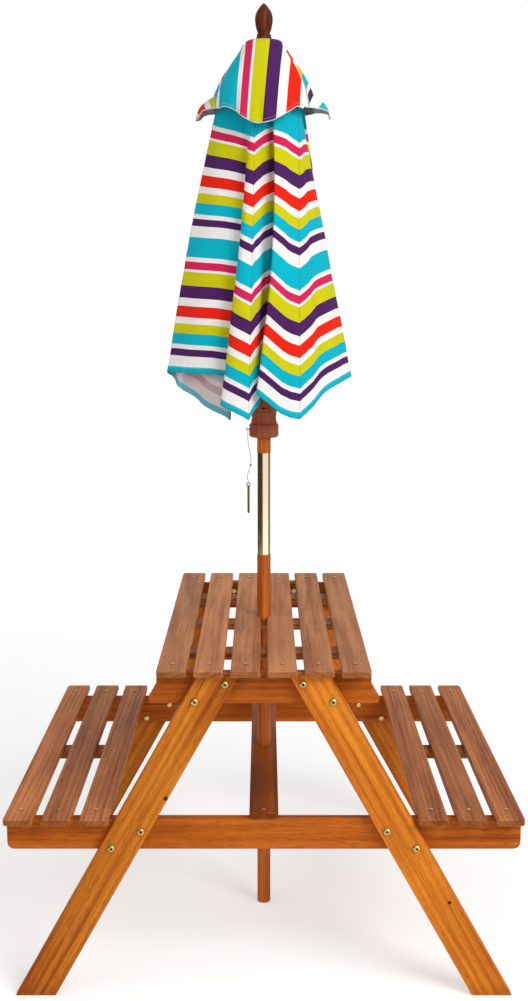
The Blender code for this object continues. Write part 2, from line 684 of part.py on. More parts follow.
def make_finial():
    bud = [
        (FINIAL_BUD_RADIUS * radius_share, FINIAL_BOTTOM + FINIAL_HEIGHT * height_share)
        for height_share, radius_share in BUD_SHARES
    ]
    collar = FINIAL_BOTTOM + FINIAL_COLLAR_HEIGHT
    socket = TOP_SPIGOT_RADIUS + FIT_GAP
    turned(
        "finial",
        [(0, FINIAL_BOTTOM + FINIAL_HEIGHT)] + bud + [
            (FINIAL_NECK_RADIUS, FINIAL_BOTTOM + FINIAL_NECK_HEIGHT),
            (FINIAL_COLLAR_RADIUS - POLE_EDGE, collar),
            (FINIAL_COLLAR_RADIUS, collar - POLE_EDGE),
            (FINIAL_COLLAR_RADIUS, FINIAL_BOTTOM),
            (socket, FINIAL_BOTTOM),
            (socket, FINIAL_BOTTOM + FINIAL_SOCKET),
            (0, FINIAL_BOTTOM + FINIAL_SOCKET),
        ],
        TURNED_WOOD,
    )


def rib_azimuth(index):
    """Angle of a rib about the pole, from the front towards +X."""
    return RIB_TURN + index * 2 * math.pi / RIB_COUNT


def slot_cutter(name, index, side, inner, width, low, high):
    """A radial slot at one rib's angle, from the inner radius outwards."""
    outer = RUNNER_FLANGE_RADIUS + HUB_RADIUS
    size = (width, outer - inner, high - low)
    mesh = box_mesh(name, size, (side, -(outer + inner) / 2, (low + high) / 2))
    return cutter(name, mesh, rotation=(0, 0, rib_azimuth(index)))


def make_hub():
    bore = TOP_SPIGOT_RADIUS + FIT_GAP
    hub = turned(
        "top_hub",
        [
            (HUB_RADIUS - HUB_EDGE, HUB_TOP),
            (HUB_RADIUS, HUB_TOP - HUB_EDGE),
            (HUB_RADIUS, HUB_BOTTOM + HUB_EDGE),
            (HUB_RADIUS - HUB_EDGE, HUB_BOTTOM),
            (bore, HUB_BOTTOM),
            (bore, HUB_TOP),
        ],
        TURNED_WOOD,
        ring=True,
    )
    clearance = RIB_DEPTH / 2 + PIVOT_GAP
    for index in range(RIB_COUNT):
        slot = slot_cutter(
            f"hub_slot_{index + 1}",
            index,
            0,
            HUB_PIVOT_RADIUS - clearance,
            RIB_WIDTH + 2 * FIT_GAP,
            HUB_BOTTOM - CUT_OVERRUN,
            RIB_PIVOT_Z + clearance,
        )
        combine(hub, slot, "DIFFERENCE")


def bar_mesh(name, length, width, depth, way):
    """A bar with one round end at its origin, running along Z."""
    radius = depth / 2
    if way < 0:
        points = [(-radius, -length), (radius, -length)] + arc((0, 0), radius, 0, 180, 6)
    else:
        points = [(radius, length), (-radius, length)] + arc((0, 0), radius, 180, 360, 6)
    shape = bmesh.new()
    verts = [shape.verts.new((-width / 2, y, z)) for y, z in points]
    face = shape.faces.new(verts)
    grown = bmesh.ops.extrude_face_region(shape, geom=[face])
    moved = [item for item in grown["geom"] if isinstance(item, bmesh.types.BMVert)]
    bmesh.ops.translate(shape, vec=(width, 0, 0), verts=moved)
    bmesh.ops.recalc_face_normals(shape, faces=shape.faces)
    mesh = bpy.data.meshes.new(name)
    shape.to_mesh(mesh)
    shape.free()
    return mesh


def make_linkage():
    for index in range(RIB_COUNT):
        azimuth = rib_azimuth(index)
        outwards = Vector((math.sin(azimuth), -math.cos(azimuth), 0))
        sideways = Vector((math.cos(azimuth), math.sin(azimuth), 0))
        name = f"rib_{index + 1}"
        rib = add_object(name, bar_mesh(name, RIB_REACH, RIB_WIDTH, RIB_DEPTH, -1), POLE_WOOD)
        rib.location = outwards * HUB_PIVOT_RADIUS + Vector((0, 0, RIB_PIVOT_Z))
        rib.rotation_euler = (-RIB_LEAN, 0, azimuth)
        name = f"strut_{index + 1}"
        length = STRUT_LENGTH + STRUT_DEPTH / 2
        strut = add_object(name, bar_mesh(name, length, STRUT_WIDTH, STRUT_DEPTH, 1), POLE_WOOD)
        place = outwards * RUNNER_PIVOT_RADIUS + sideways * STRUT_SIDE
        strut.location = place + Vector((0, 0, STRUT_PIVOT_Z))
        strut.rotation_euler = (STRUT_LEAN, 0, azimuth)


def make_runner():
    bore = POLE_RADIUS + SLIDE_GAP
    edge = HUB_EDGE
    neck = RUNNER_NECK_RADIUS
    runner = turned(
        "runner",
        [
            (RUNNER_FLANGE_RADIUS, RUNNER_TOP),
            (RUNNER_FLANGE_RADIUS, RUNNER_FLANGE_BOTTOM),
            (neck, RUNNER_FLANGE_BOTTOM - edge),
            (neck - edge / 2, (RUNNER_FLANGE_BOTTOM + RUNNER_RING_TOP) / 2),
            (neck, RUNNER_RING_TOP + edge / 2),
            (RUNNER_RING_RADIUS - edge / 2, RUNNER_RING_TOP),
            (RUNNER_RING_RADIUS, RUNNER_RING_TOP - edge),
            (RUNNER_RING_RADIUS, RUNNER_BOTTOM + edge),
            (RUNNER_RING_RADIUS - edge, RUNNER_BOTTOM),
            (bore, RUNNER_BOTTOM),
            (bore, RUNNER_TOP),
        ],
        TURNED_WOOD,
        ring=True,
    )
    clearance = STRUT_DEPTH / 2 + PIVOT_GAP
    for index in range(RIB_COUNT):
        slot = slot_cutter(
            f"runner_slot_{index + 1}",
            index,
            STRUT_SIDE,
            RUNNER_PIVOT_RADIUS - clearance,
            STRUT_WIDTH + 2 * FIT_GAP,
            STRUT_PIVOT_Z - clearance,
            RUNNER_TOP + CUT_OVERRUN,
        )
        combine(runner, slot, "DIFFERENCE")
    profile = [
        (0, TACK_REACH),
        (TACK_HEAD_RADIUS, TACK_REACH),
        (TACK_HEAD_RADIUS, TACK_REACH - TACK_HEAD_HEIGHT),
        (TACK_SHANK_RADIUS, TACK_REACH - TACK_HEAD_HEIGHT),
        (TACK_SHANK_RADIUS, -TACK_REACH),
        (0, -TACK_REACH),
    ]
    tack = turned("tack", profile, None, BOLT_SEGMENTS, collection=CUTTERS)
    tack.location = (-RUNNER_RING_RADIUS, 0, TACK_HEIGHT)
    tack.rotation_euler = (0, math.radians(-90), 0)
    tack.hide_render = True
    tack.display_type = "WIRE"
    combine(runner, tack, "UNION")


def cloth_object(name, points, material):
    """A grid of points by row and column, closed round, given an even thickness."""
    rows, columns = points.shape[:2]
    row, column = np.meshgrid(np.arange(rows - 1), np.arange(columns), indexing="ij")
    after = (column + 1) % columns
    faces = np.stack(
        [
            row * columns + column,
            (row + 1) * columns + column,
            (row + 1) * columns + after,
            row * columns + after,
        ],
        axis=-1,
    ).reshape(-1, 4)
    mesh = bpy.data.meshes.new(name)
    mesh.from_pydata(points.reshape(-1, 3).tolist(), [], faces.tolist())
    shape = bmesh.new()
    shape.from_mesh(mesh)
    bmesh.ops.recalc_face_normals(shape, faces=shape.faces)
    shape.to_mesh(mesh)
    shape.free()
    obj = add_object(name, mesh, material)
    modifier = obj.modifiers.new("cloth thickness", "SOLIDIFY")
    modifier.thickness = CLOTH_THICKNESS
    modifier.offset = 0
    mesh.shade_smooth()
    return obj


def hem_height(gore_place, radius, apex):
    """The cloth's ray to the hem is straight, and its length grows from mid gore to seam."""
    offset = np.abs(gore_place - np.floor(gore_place) - 0.5) * 2
    ray = MID_GORE_LENGTH * np.sqrt(1 + (offset * math.tan(GORE_HALF_ANGLE)) ** 2)
    return apex - np.sqrt(ray**2 - radius**2)


def make_canopy():
    """The closed canopy: a ring under the finial, a round shoulder over the hub, then folds."""
    table = np.array(FOLD_SHARES)
    place, hem, fold = table[:, 0], table[:, 1:3] * FLAP_REACH, table[:, 3:5] * FLAP_REACH
    azimuth = RIB_TURN - place * 2 * math.pi / RIB_COUNT
    ring = np.stack([np.sin(azimuth), -np.cos(azimuth)], axis=1)
    apex = CANOPY_TOP - CLOTH_THICKNESS / 2
    shoulder_z = apex - SHOULDER_DROP
    hem_z = hem_height(place, np.hypot(hem[:, 0], hem[:, 1]), apex)
    rows = []
    for share in ROW_SHARES:
        if share <= SHOULDER_SHARE:
            part = share / SHOULDER_SHARE
            flat = ring * (RING_RADIUS + (SHOULDER_RADIUS - RING_RADIUS) * math.sin(part * math.pi / 2))
            height = np.full(len(place), apex - SHOULDER_DROP * part**6)
        else:
            down = (share - SHOULDER_SHARE) / (1 - SHOULDER_SHARE)
            height = shoulder_z + (hem_z - shoulder_z) * down
            if share <= FOLD_SHARE:
                part = (share - SHOULDER_SHARE) / (FOLD_SHARE - SHOULDER_SHARE)
                flat = ring * SHOULDER_RADIUS * (1 - part) + fold * part
            else:
                part = (share - FOLD_SHARE) / (1 - FOLD_SHARE)
                flat = fold * (1 - part) + hem * part
        rows.append(np.column_stack([flat, height]))
    cloth_object("canopy", np.array(rows), CANOPY_CLOTH)


def make_cap():
    """The cap: a square sheet over the top, whose corners hang lower and stand out as ears."""
    azimuth = np.linspace(0, 2 * math.pi, CAP_COLUMNS, endpoint=False)
    apex = CAP_TOP - CLOTH_THICKNESS / 2
    corner = np.abs(np.cos(2 * azimuth)) ** 3 * (np.abs(np.sin(azimuth)) > np.sqrt(1 / 2))
    front = np.abs(np.cos(2 * azimuth)) ** 3 * (np.abs(np.cos(azimuth)) > np.sqrt(1 / 2))
    waves = CAP_WAVE_SHARE * np.cos(RIB_COUNT * azimuth)
    hem_radius = CAP_RADIUS * (1 + waves)
    hem_drop = CAP_DROP * (CAP_HEM_SHARE + CAP_FRONT_SHARE * front + CAP_CORNER_SHARE * corner)
    ring = np.stack([np.sin(azimuth), -np.cos(azimuth)], axis=1)
    rows = []
    for share in CAP_ROW_SHARES:
        if share <= CAP_SHOULDER_SHARE:
            part = share / CAP_SHOULDER_SHARE
            radius = RING_RADIUS + (CAP_SHOULDER_RADIUS - RING_RADIUS) * part
            height = apex - CAP_SHOULDER_DROP * part**6
            radius = np.full(len(azimuth), radius)
            height = np.full(len(azimuth), height)
        else:
            part = (share - CAP_SHOULDER_SHARE) / (1 - CAP_SHOULDER_SHARE)
            swell = math.sin(part * math.pi / 2) ** CAP_SWELL_POWER
            ear = CAP_EAR * max(0, (part - CAP_EAR_SHARE) / (1 - CAP_EAR_SHARE))
            radius = CAP_SHOULDER_RADIUS + (hem_radius - CAP_SHOULDER_RADIUS) * swell
            radius += ear * corner
            height = apex - CAP_SHOULDER_DROP - (hem_drop - CAP_SHOULDER_DROP) * part**CAP_FALL_POWER
        rows.append(np.column_stack([ring * radius[:, None], height]))
    cloth_object("canopy_cap", np.array(rows), CAP_CLOTH)


def smooth_route(points, count):
    """Evenly spaced points on a Catmull-Rom curve through the route."""
    knots = [Vector(point) for point in points]
    knots = [2 * knots[0] - knots[1]] + knots + [2 * knots[-1] - knots[-2]]
    fine = []
    for a, b, c, d in zip(knots, knots[1:], knots[2:], knots[3:]):
        for step in range(ROUTE_STEPS):
            t = step / ROUTE_STEPS
            fine.append(
                0.5 * (2 * b + (c - a) * t + (2 * a - 5 * b + 4 * c - d) * t**2
                + (3 * b - a - 3 * c + d) * t**3)
            )
    fine.append(knots[-2])
    lengths = np.concatenate([[0], np.cumsum([(q - p).length for p, q in zip(fine, fine[1:])])])
    wanted = np.linspace(0, lengths[-1], count)
    columns = [np.interp(wanted, lengths, [point[axis] for point in fine]) for axis in range(3)]
    return np.array(columns).T


def make_cord_and_pin():
    curve = bpy.data.curves.new("pin_cord", "CURVE")
    curve.dimensions = "3D"
    curve.bevel_depth = CORD_RADIUS
    curve.bevel_resolution = 2
    curve.use_fill_caps = True
    points = smooth_route(CORD_ROUTE, CORD_POINTS)
    spline = curve.splines.new("POLY")
    spline.points.add(len(points) - 1)
    spline.points.foreach_set("co", np.column_stack([points, np.ones(len(points))]).ravel())
    obj = bpy.data.objects.new("pin_cord", curve)
    curve.materials.append(CORD_FIBRE)
    PARTS.objects.link(obj)

    profile = [
        (0, -PIN_EYE_RADIUS),
        (PIN_RADIUS, -PIN_EYE_RADIUS),
        (PIN_RADIUS, PIN_RADIUS - PIN_LENGTH),
        (PIN_RADIUS / 2, -PIN_LENGTH),
        (0, -PIN_LENGTH),
    ]
    pin = turned("lock_pin", profile, PIN_METAL, BOLT_SEGMENTS)
    pin.location = (PIN_X, 0, PIN_EYE_HEIGHT)
    eye_path = arc((PIN_EYE_RADIUS + PIN_EYE_WIRE, 0), PIN_EYE_WIRE, 0, -360, 6)[:-1]
    eye = turned("pin_eye", eye_path, None, HOLE_SEGMENTS, ring=True, collection=CUTTERS)
    eye.location = pin.location
    eye.rotation_euler = (math.radians(90), 0, 0)
    eye.hide_render = True
    eye.display_type = "WIRE"
    combine(pin, eye, "UNION")


if __name__ == "__main__":
    make_slats()
    make_rails()
    make_legs()
    make_pole()
    make_finial()
    make_hub()
    make_linkage()
    make_runner()
    make_canopy()
    make_cap()
    make_cord_and_pin()
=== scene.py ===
"""A children's picnic table with a closed parasol: its cloth, cord, screws and finishes."""

import math

import bmesh
import bpy
import numpy as np
from bpy.props import FloatProperty, FloatVectorProperty, IntProperty, PointerProperty
from bpy.types import Operator, Panel, PropertyGroup
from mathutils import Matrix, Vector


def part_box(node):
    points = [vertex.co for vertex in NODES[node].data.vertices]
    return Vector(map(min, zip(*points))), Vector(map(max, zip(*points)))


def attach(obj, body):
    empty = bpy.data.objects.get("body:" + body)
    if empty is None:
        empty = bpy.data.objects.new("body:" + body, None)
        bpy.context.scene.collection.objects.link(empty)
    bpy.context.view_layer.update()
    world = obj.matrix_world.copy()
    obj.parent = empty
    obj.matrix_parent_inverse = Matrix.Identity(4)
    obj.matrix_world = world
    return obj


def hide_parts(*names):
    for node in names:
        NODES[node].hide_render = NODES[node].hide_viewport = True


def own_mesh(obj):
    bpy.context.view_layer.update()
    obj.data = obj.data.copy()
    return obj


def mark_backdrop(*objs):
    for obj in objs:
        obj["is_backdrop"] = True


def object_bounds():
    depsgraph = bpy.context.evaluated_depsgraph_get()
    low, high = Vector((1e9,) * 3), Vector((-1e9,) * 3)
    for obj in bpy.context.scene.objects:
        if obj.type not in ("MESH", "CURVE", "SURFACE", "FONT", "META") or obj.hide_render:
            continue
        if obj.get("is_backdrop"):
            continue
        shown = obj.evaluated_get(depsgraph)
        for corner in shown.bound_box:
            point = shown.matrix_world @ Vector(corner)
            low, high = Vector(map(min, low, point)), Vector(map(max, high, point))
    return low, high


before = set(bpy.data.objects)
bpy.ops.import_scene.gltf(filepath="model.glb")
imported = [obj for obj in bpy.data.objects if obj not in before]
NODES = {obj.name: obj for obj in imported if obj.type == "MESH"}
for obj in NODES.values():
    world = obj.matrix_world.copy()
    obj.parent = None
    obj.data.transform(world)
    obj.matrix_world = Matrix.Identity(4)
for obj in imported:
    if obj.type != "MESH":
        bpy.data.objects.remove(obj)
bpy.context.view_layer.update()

bl_info = {
    "name": "Picnic table with parasol",
    "version": (1, 0, 0),
    "blender": (4, 5, 0),
    "location": "View3D > Sidebar > Picnic table",
    "description": "Makes the cloth, cord, screws and finishes of a children's picnic table",
    "category": "Object",
}

TURN = 2 * math.pi
CANOPY_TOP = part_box("canopy")[1].z
CAP_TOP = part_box("canopy_cap")[1].z
FINIAL_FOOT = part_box("finial")[0].z
FINIAL_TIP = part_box("finial")[1].z
TABLE_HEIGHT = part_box("top_slat_1")[1].z
BENCH_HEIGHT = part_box("bench_left_slat_1")[1].z
STRETCHER_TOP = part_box("stretcher")[1].z

# Steps of a smooth curve between two of its points, and of the canopy's plan between its rows
CURVE_STEPS = 16
PLAN_STEPS = 24
# Points nearer than these are one: in the scene's own meshes, and where a node is shaded
MERGE_REACH = 1e-7
CORNER_REACH = 1e-5
SHARP_ANGLE = math.radians(34)
# The canopy's cut and its folds, as the solid has them
RIB_COUNT = 8
RIB_TURN = math.radians(-16.0)
GORE_LENGTH = 0.642
FLAP_REACH = 0.188
RING_RADIUS = 0.0135
SHOULDER_RADIUS = 0.0325
SHOULDER_DROP = 0.009
SHOULDER_SHARE = 0.06
FOLD_SHARE = 0.22
# Half a gore's width as a share of its length: in the closed folds, and as the ribs open it
GORE_SLANT = math.tan(math.radians(24.0))
# How far apart the gores lie on the flat cloth that the stripes are printed on
GORE_SPACING = 0.6
CLOTH_THICKNESS = 0.0009
BINDING_WIDTH = 0.011
BINDING_THICKNESS = 0.0021
BINDING_TOP_SHARE = 1 - BINDING_WIDTH / GORE_LENGTH
# Rows down to the shoulder, the fold line and the binding, and those round the binding's edge
SHOULDER_ROWS, FOLD_ROWS, FLAP_ROWS = 12, 18, 62
BINDING_STEP_SHARES = (-0.004, -0.0008, 0.0008, 0.006, 0.0115)
# How often the bends down the cloth are rounded, and how many rows at the hem are left out
ROUNDINGS = 10
PLAIN_HEM_ROWS = 8
# The small waves in each gore and down the cloth, each with its share of a wrinkle's height
LONG_WAVES, LONG_SHARE = 5, 0.5
SLANT_WAVES, SLANT_LEAN, SLANT_SHARE = 9, 3.5, 0.35
CROSS_WAVES, CROSS_SHARE = 13, 0.3
# How far these waves drift, as parts of a wave, and how often the long ones do down the cloth
LONG_DRIFT, LONG_DRIFT_WAVES, SLANT_DRIFT, CROSS_DRIFT = 0.5, 1.3, 0.3, 0.8
WAVES_BEGIN_SHARE, WAVES_FULL_SHARE = 0.16, 0.66
PUCKERS, PUCKER_SHARE, PUCKER_REACH_SHARE = 42, 0.35, 0.05
# The larger waves, so many on each side of a gore's middle. Between these places, which are
# behind, they are deeper.
BILLOWS = 2.5
FRONT_BILLOW = 0.0020
BACK_BILLOW = 0.0110
BILLOW_FULL_SHARE = SHOULDER_SHARE + 0.2
BEHIND_BEGINS, BEHIND_FULL = 0.52, 0.72
BEHIND_FADES, BEHIND_ENDS = 6.25, 6.45

# Each row is a point of the cloth, going from the front left seam round by the left: its place
# in its gore, with seams at whole numbers, then its X and Y at the hem and at the fold line, as
# shares of the widest flap's reach.
FOLD_SHARES = (
    (0.00, -0.152, -0.628, -0.085, -0.362),
    (0.06, -0.298, -0.622, -0.106, -0.352),
    (0.11, -0.415, -0.580, -0.122, -0.328),
    (0.14, -0.424, -0.532, -0.127, -0.314),
    (0.20, -0.293, -0.505, -0.136, -0.284),
    (0.26, -0.205, -0.455, -0.150, -0.264),
    (0.31, -0.208, -0.405, -0.168, -0.250),
    (0.36, -0.319, -0.388, -0.200, -0.240),
    (0.42, -0.532, -0.335, -0.262, -0.212),
    (0.50, -0.765, -0.245, -0.375, -0.154),
    (0.57, -0.974, -0.116, -0.447, -0.073),
    (0.59, -0.988, -0.064, -0.456, -0.037),
    (0.62, -0.950, -0.048, -0.437, -0.032),
    (0.80, -0.798, -0.101, -0.380, -0.059),
    (0.90, -0.612, -0.196, -0.300, -0.111),
    (1.00, -0.322, -0.300, -0.215, -0.165),
    (1.20, -0.545, -0.106, -0.277, -0.058),
    (1.38, -0.696, 0.090, -0.346, 0.043),
    (1.48, -0.787, 0.234, -0.388, 0.114),
    (1.52, -0.771, 0.271, -0.380, 0.133),
    (1.64, -0.649, 0.218, -0.325, 0.109),
    (2.00, -0.489, 0.138, -0.252, 0.072),
    (2.20, -0.543, 0.266, -0.271, 0.133),
    (2.38, -0.596, 0.505, -0.298, 0.252),
    (2.48, -0.590, 0.676, -0.295, 0.338),
    (2.52, -0.553, 0.681, -0.277, 0.340),
    (2.66, -0.452, 0.548, -0.226, 0.274),
    (3.00, -0.245, 0.447, -0.128, 0.234),
    (3.20, -0.234, 0.559, -0.117, 0.279),
    (3.38, -0.181, 0.771, -0.090, 0.386),
    (3.48, -0.117, 0.872, -0.059, 0.436),
    (3.52, -0.069, 0.862, -0.035, 0.431),
    (3.66, -0.021, 0.718, -0.011, 0.359),
    (4.00, 0.133, 0.495, 0.069, 0.255),
    (4.20, 0.202, 0.585, 0.101, 0.293),
    (4.38, 0.335, 0.713, 0.168, 0.356),
    (4.48, 0.447, 0.755, 0.223, 0.378),
    (4.52, 0.468, 0.713, 0.234, 0.356),
    (4.66, 0.447, 0.505, 0.223, 0.253),
    (5.00, 0.447, 0.250, 0.245, 0.133),
    (5.20, 0.548, 0.340, 0.274, 0.170),
    (5.38, 0.691, 0.426, 0.346, 0.213),
    (5.48, 0.787, 0.436, 0.394, 0.218),
    (5.52, 0.782, 0.388, 0.391, 0.194),
    (5.66, 0.580, 0.170, 0.290, 0.085),
    (6.00, 0.420, -0.101, 0.252, -0.048),
    (6.15, 0.520, -0.053, 0.279, -0.021),
    (6.34, 0.746, 0.021, 0.320, 0.016),
    (6.47, 0.880, 0.016, 0.345, 0.011),
    (6.53, 0.868, -0.080, 0.352, -0.048),
    (6.66, 0.718, -0.277, 0.357, -0.112),
    (6.82, 0.537, -0.457, 0.352, -0.165),
    (7.00, 0.354, -0.628, 0.340, -0.218),
    (7.06, 0.213, -0.644, 0.266, -0.277),
    (7.12, 0.064, -0.660, 0.181, -0.330),
    (7.18, -0.059, -0.654, 0.096, -0.356),
    (7.21, -0.069, -0.606, 0.090, -0.327),
    (7.26, 0.040, -0.570, 0.118, -0.298),
    (7.34, 0.140, -0.450, 0.126, -0.262),
    (7.43, 0.190, -0.325, 0.112, -0.244),
    (7.52, 0.150, -0.325, 0.082, -0.256),
    (7.64, 0.062, -0.382, 0.042, -0.272),
    (7.78, -0.018, -0.472, -0.008, -0.306),
    (7.90, -0.084, -0.560, -0.049, -0.338),
)
# Places round the cut where the hem hangs higher than its gore would let it, with the heights
HEM_LIFTS = (
    (0.14, 0.0), (0.20, 0.020), (0.31, 0.026), (0.42, 0.022), (0.50, 0.014), (0.59, 0.006),
    (0.72, 0.0), (0.95, 0.0), (1.05, -0.005), (1.25, -0.005), (1.40, 0.0), (5.90, 0.0),
    (6.00, 0.012), (6.10, 0.0), (6.78, 0.0), (6.87, -0.005), (6.93, -0.006),
    (7.00, -0.001), (7.04, -0.006), (7.08, -0.006), (7.12, 0.002), (7.16, 0.009),
    (7.21, 0.011), (7.34, 0.0),
)
# Places where the folds stand out to the right half way down, with how far
FOLD_BULGES = (
    (0.06, 0.0), (0.11, 0.004), (0.14, 0.005), (0.20, 0.0), (0.45, 0.0), (0.57, -0.005),
    (0.62, -0.006), (0.80, 0.0), (7.06, 0.0), (7.12, 0.007), (7.18, 0.015), (7.21, 0.015),
    (7.36, 0.010), (7.60, 0.004), (7.80, 0.0),
)
# How far the stripes of each gore have slipped down at these places, near the top
STRIPE_SLIPS = (
    (0.00, 0.012), (0.14, 0.013), (0.31, 0.013), (0.42, 0.009), (0.59, 0.0), (1.00, 0.014),
    (1.50, 0.0), (2.00, 0.014), (2.50, 0.0), (3.00, 0.014), (3.50, 0.0), (4.00, 0.014),
    (4.50, 0.0), (5.00, 0.014), (5.50, 0.0), (6.00, 0.014), (6.47, 0.033), (7.00, 0.020),
    (7.09, 0.008), (7.21, 0.009), (7.43, 0.001), (7.52, 0.001), (8.00, 0.012),
)
# How much further they have slipped at the very top
TOP_SLIPS = ((0.00, 0.0), (0.14, 0.003), (0.26, 0.016), (0.36, 0.015), (0.45, 0.010), (0.59, 0.0))
SLIP_POWER = 0.6
SLIP_BEGIN_SHARE, SLIP_FULL_SHARE = 0.10, 0.23
TOP_SLIP_FULL_SHARE, TOP_SLIP_END_SHARE = 0.15, 0.60
# The cap between its corners: how far each point is below the top and out from the pole
CAP_PROFILE = (
    (0.0000, 0.0135), (0.0008, 0.0240), (0.0035, 0.0325), (0.0110, 0.0398), (0.0220, 0.0458),
    (0.0355, 0.0552), (0.0490, 0.0652), (0.0620, 0.0738), (0.0760, 0.0820), (0.0895, 0.0886),
    (0.1035, 0.0938), (0.1180, 0.0972), (0.1280, 0.0980),
)
# The ears at its left and right corners, and how the front and back ones hang
CAP_EAR = 0.026
CAP_EAR_SHARE = 0.84
CAP_EAR_DROP = 0.016
CAP_EAR_ARCH = 0.002
CAP_EAR_POWER = 5
CAP_LEFT_POWER, CAP_RIGHT_POWER = 2.4, 1.3
CAP_CORNER_DROP_SHARE = 0.25
# The sine of the azimuth of its creases, with their reach in it and their lift
CAP_CREASE = 0.86
CAP_CREASE_REACH = 0.05
CAP_CREASE_BLUR = 0.004
CAP_CREASE_LIFT = 0.0022
# Its hem's ruffles: height as a share of the radius, number and start
CAP_RUFFLES = ((0.022, 15, 1.1), (0.015, 26, 0.0))
CAP_RUFFLE_SHARE = 0.6
# How far its corners, its creases and its stripes are turned
CAP_TURN = 0.09
CAP_CREASE_TURN = 0.8 * CAP_TURN
CAP_STRIPE_TURN = math.radians(4.5)
# The side of its flat square, and its rows and columns
CAP_HEM_THICKNESS = 0.0016
CAP_ROWS, CAP_HEM_ROWS, CAP_COLUMNS = 64, 2, 288
# The stripes of the cloth in order, each with its width in metres
STRIPES = (
    ("teal", 0.0365), ("white", 0.0083), ("magenta", 0.0150), ("white", 0.0040),
    ("lime", 0.0260), ("purple", 0.0230), ("white", 0.0150), ("red", 0.0215),
    ("white", 0.0116), ("lime", 0.0180), ("teal", 0.0215), ("white", 0.0083),
    ("purple", 0.0133), ("white", 0.0215),
)
STRIPE_PERIOD = sum(width for _, width in STRIPES)
# Above this distance down, under the cap, the canopy is teal
TEAL_TOP = GORE_LENGTH - BINDING_WIDTH - 2 * STRIPE_PERIOD
# How far into the period the lime stripe's middle is, which runs down the cap's middle
LIME_MIDDLE = 0.0768
# Threads and stitches, where the sewn lines are, and how soft a line's edge is
THREAD_PITCH = 0.0011
STITCH_PITCH = 0.0034
STITCH_INSET = 0.0016
STITCH_WIDTH = 0.0007
CAP_STITCH_LINE = 0.0064
CAP_EDGE_LINE = (0.0012, 0.0018)
CAP_SEAM_LINE = (0.0008, 0.0016)
SEAM_REACH = 0.0022
LINE_BLUR = 0.0002
CLOTH_RELIEF = 0.00016
# The cord's route, from the tack to the eye of the pin
CORD_ROUTE = (
    (-0.0308, 0.0000, 0.9676), (-0.0309, 0.0000, 0.9640), (-0.0311, -0.0003, 0.9580),
    (-0.0310, -0.0007, 0.9500), (-0.0300, -0.0010, 0.9390), (-0.0280, -0.0008, 0.9280),
    (-0.0262, -0.0004, 0.9180), (-0.0252, 0.0000, 0.9090), (-0.0252, 0.0004, 0.9015),
    (-0.0268, 0.0006, 0.8940), (-0.0294, 0.0006, 0.8870), (-0.0316, 0.0004, 0.8805),
    (-0.0326, 0.0002, 0.8745), (-0.0312, 0.0000, 0.8700), (-0.0302, 0.0000, 0.8675),
    (-0.0300, 0.0000, 0.8657),
)
CORD_RADIUS = 0.0006
CORD_TWIST = 0.0042
KNOT_PLACE = (-0.0258, 0.0003, 0.8985)
KNOT_SIZE = 0.00062
KNOT_RADIUS = 0.95 * CORD_RADIUS
KNOT_PLY_LENGTH = 0.002
CORD_GROOVE_SHARE = 0.16
CORD_LINES, CORD_STRANDS = 2, 9
CORD_RELIEF = 0.0001
CORD_ROWS, KNOT_ROWS, CORD_SIDES = 240, 96, 12
# The finial: radii and heights above its foot
FINIAL_PROFILE = (
    (0.0128, 0.0000), (0.0139, 0.0008), (0.0142, 0.0030), (0.0137, 0.0052), (0.0125, 0.0060),
    (0.0131, 0.0068), (0.0135, 0.0080), (0.0129, 0.0092), (0.0113, 0.0100), (0.0114, 0.0118),
    (0.0124, 0.0145), (0.0142, 0.0200), (0.0156, 0.0270), (0.0164, 0.0330), (0.0165, 0.0370),
    (0.0160, 0.0415), (0.0147, 0.0465), (0.0124, 0.0515), (0.0093, 0.0560), (0.0060, 0.0600),
    (0.0030, 0.0632), (0.0010, 0.0647), (0.0000, 0.0650),
)
FINIAL_SOCKET = ((0.0000, 0.0075), (0.0103, 0.0075), (0.0103, 0.0000))
FINIAL_ROWS, FINIAL_COLUMNS = 90, 72
# Screws and bolts
SCREW_LINE = 0.3492
SCREW_RADIUS = 0.0041
SCREW_HEIGHT = 0.0018
# How far a screw's dome falls, its slot's half width, wall and floor, its grid's lines and rim
SCREW_FALL_SHARE = 0.45
SCREW_SLOT_SHARE, SCREW_WALL_SHARE, SCREW_FLOOR_SHARE = 0.13, 0.015, 0.22
SCREW_GRID = (0.3, 0.5, 0.7, 0.85, 0.95, 1.0)
SCREW_RIM = 0.995
SCREW_FIRST_TURN, SCREW_TURN_STEP = 0.9, 2.39996
BOLT_FACE = 0.3750
BOLT_PLACES = ((0.0666, 0.5712), (0.1186, 0.5402), (0.2136, 0.3067), (0.2656, 0.2757))
BOLT_RADIUS = 0.0068
BOLT_HEIGHT = 0.0048
BOLT_RIM = 0.0009
BOLT_COLUMNS = 48
BOLT_SOCKET_SHARE = 0.40
BOLT_SOCKET_DEPTH = 0.0011
BOLT_SOCKET_BEVEL = 0.0002
# The legs, with how far from the middle their inner faces are
LEG_LEAN = math.radians(29.07)
LEG_INNER_FACE = 0.3570
LEG_FOOT_DARK_HEIGHT = 0.030
# A leg is metal further out than the first two distances, and further in than the last two
OUTER_METAL = (BOLT_FACE + 0.0001, BOLT_FACE + 0.0003)
INNER_METAL = (LEG_INNER_FACE - 0.0004, LEG_INNER_FACE - 0.0002)
LEG_TONES = {"front_left": 0.94, "front_right": 1.14, "rear_left": 0.96, "rear_right": 1.05}
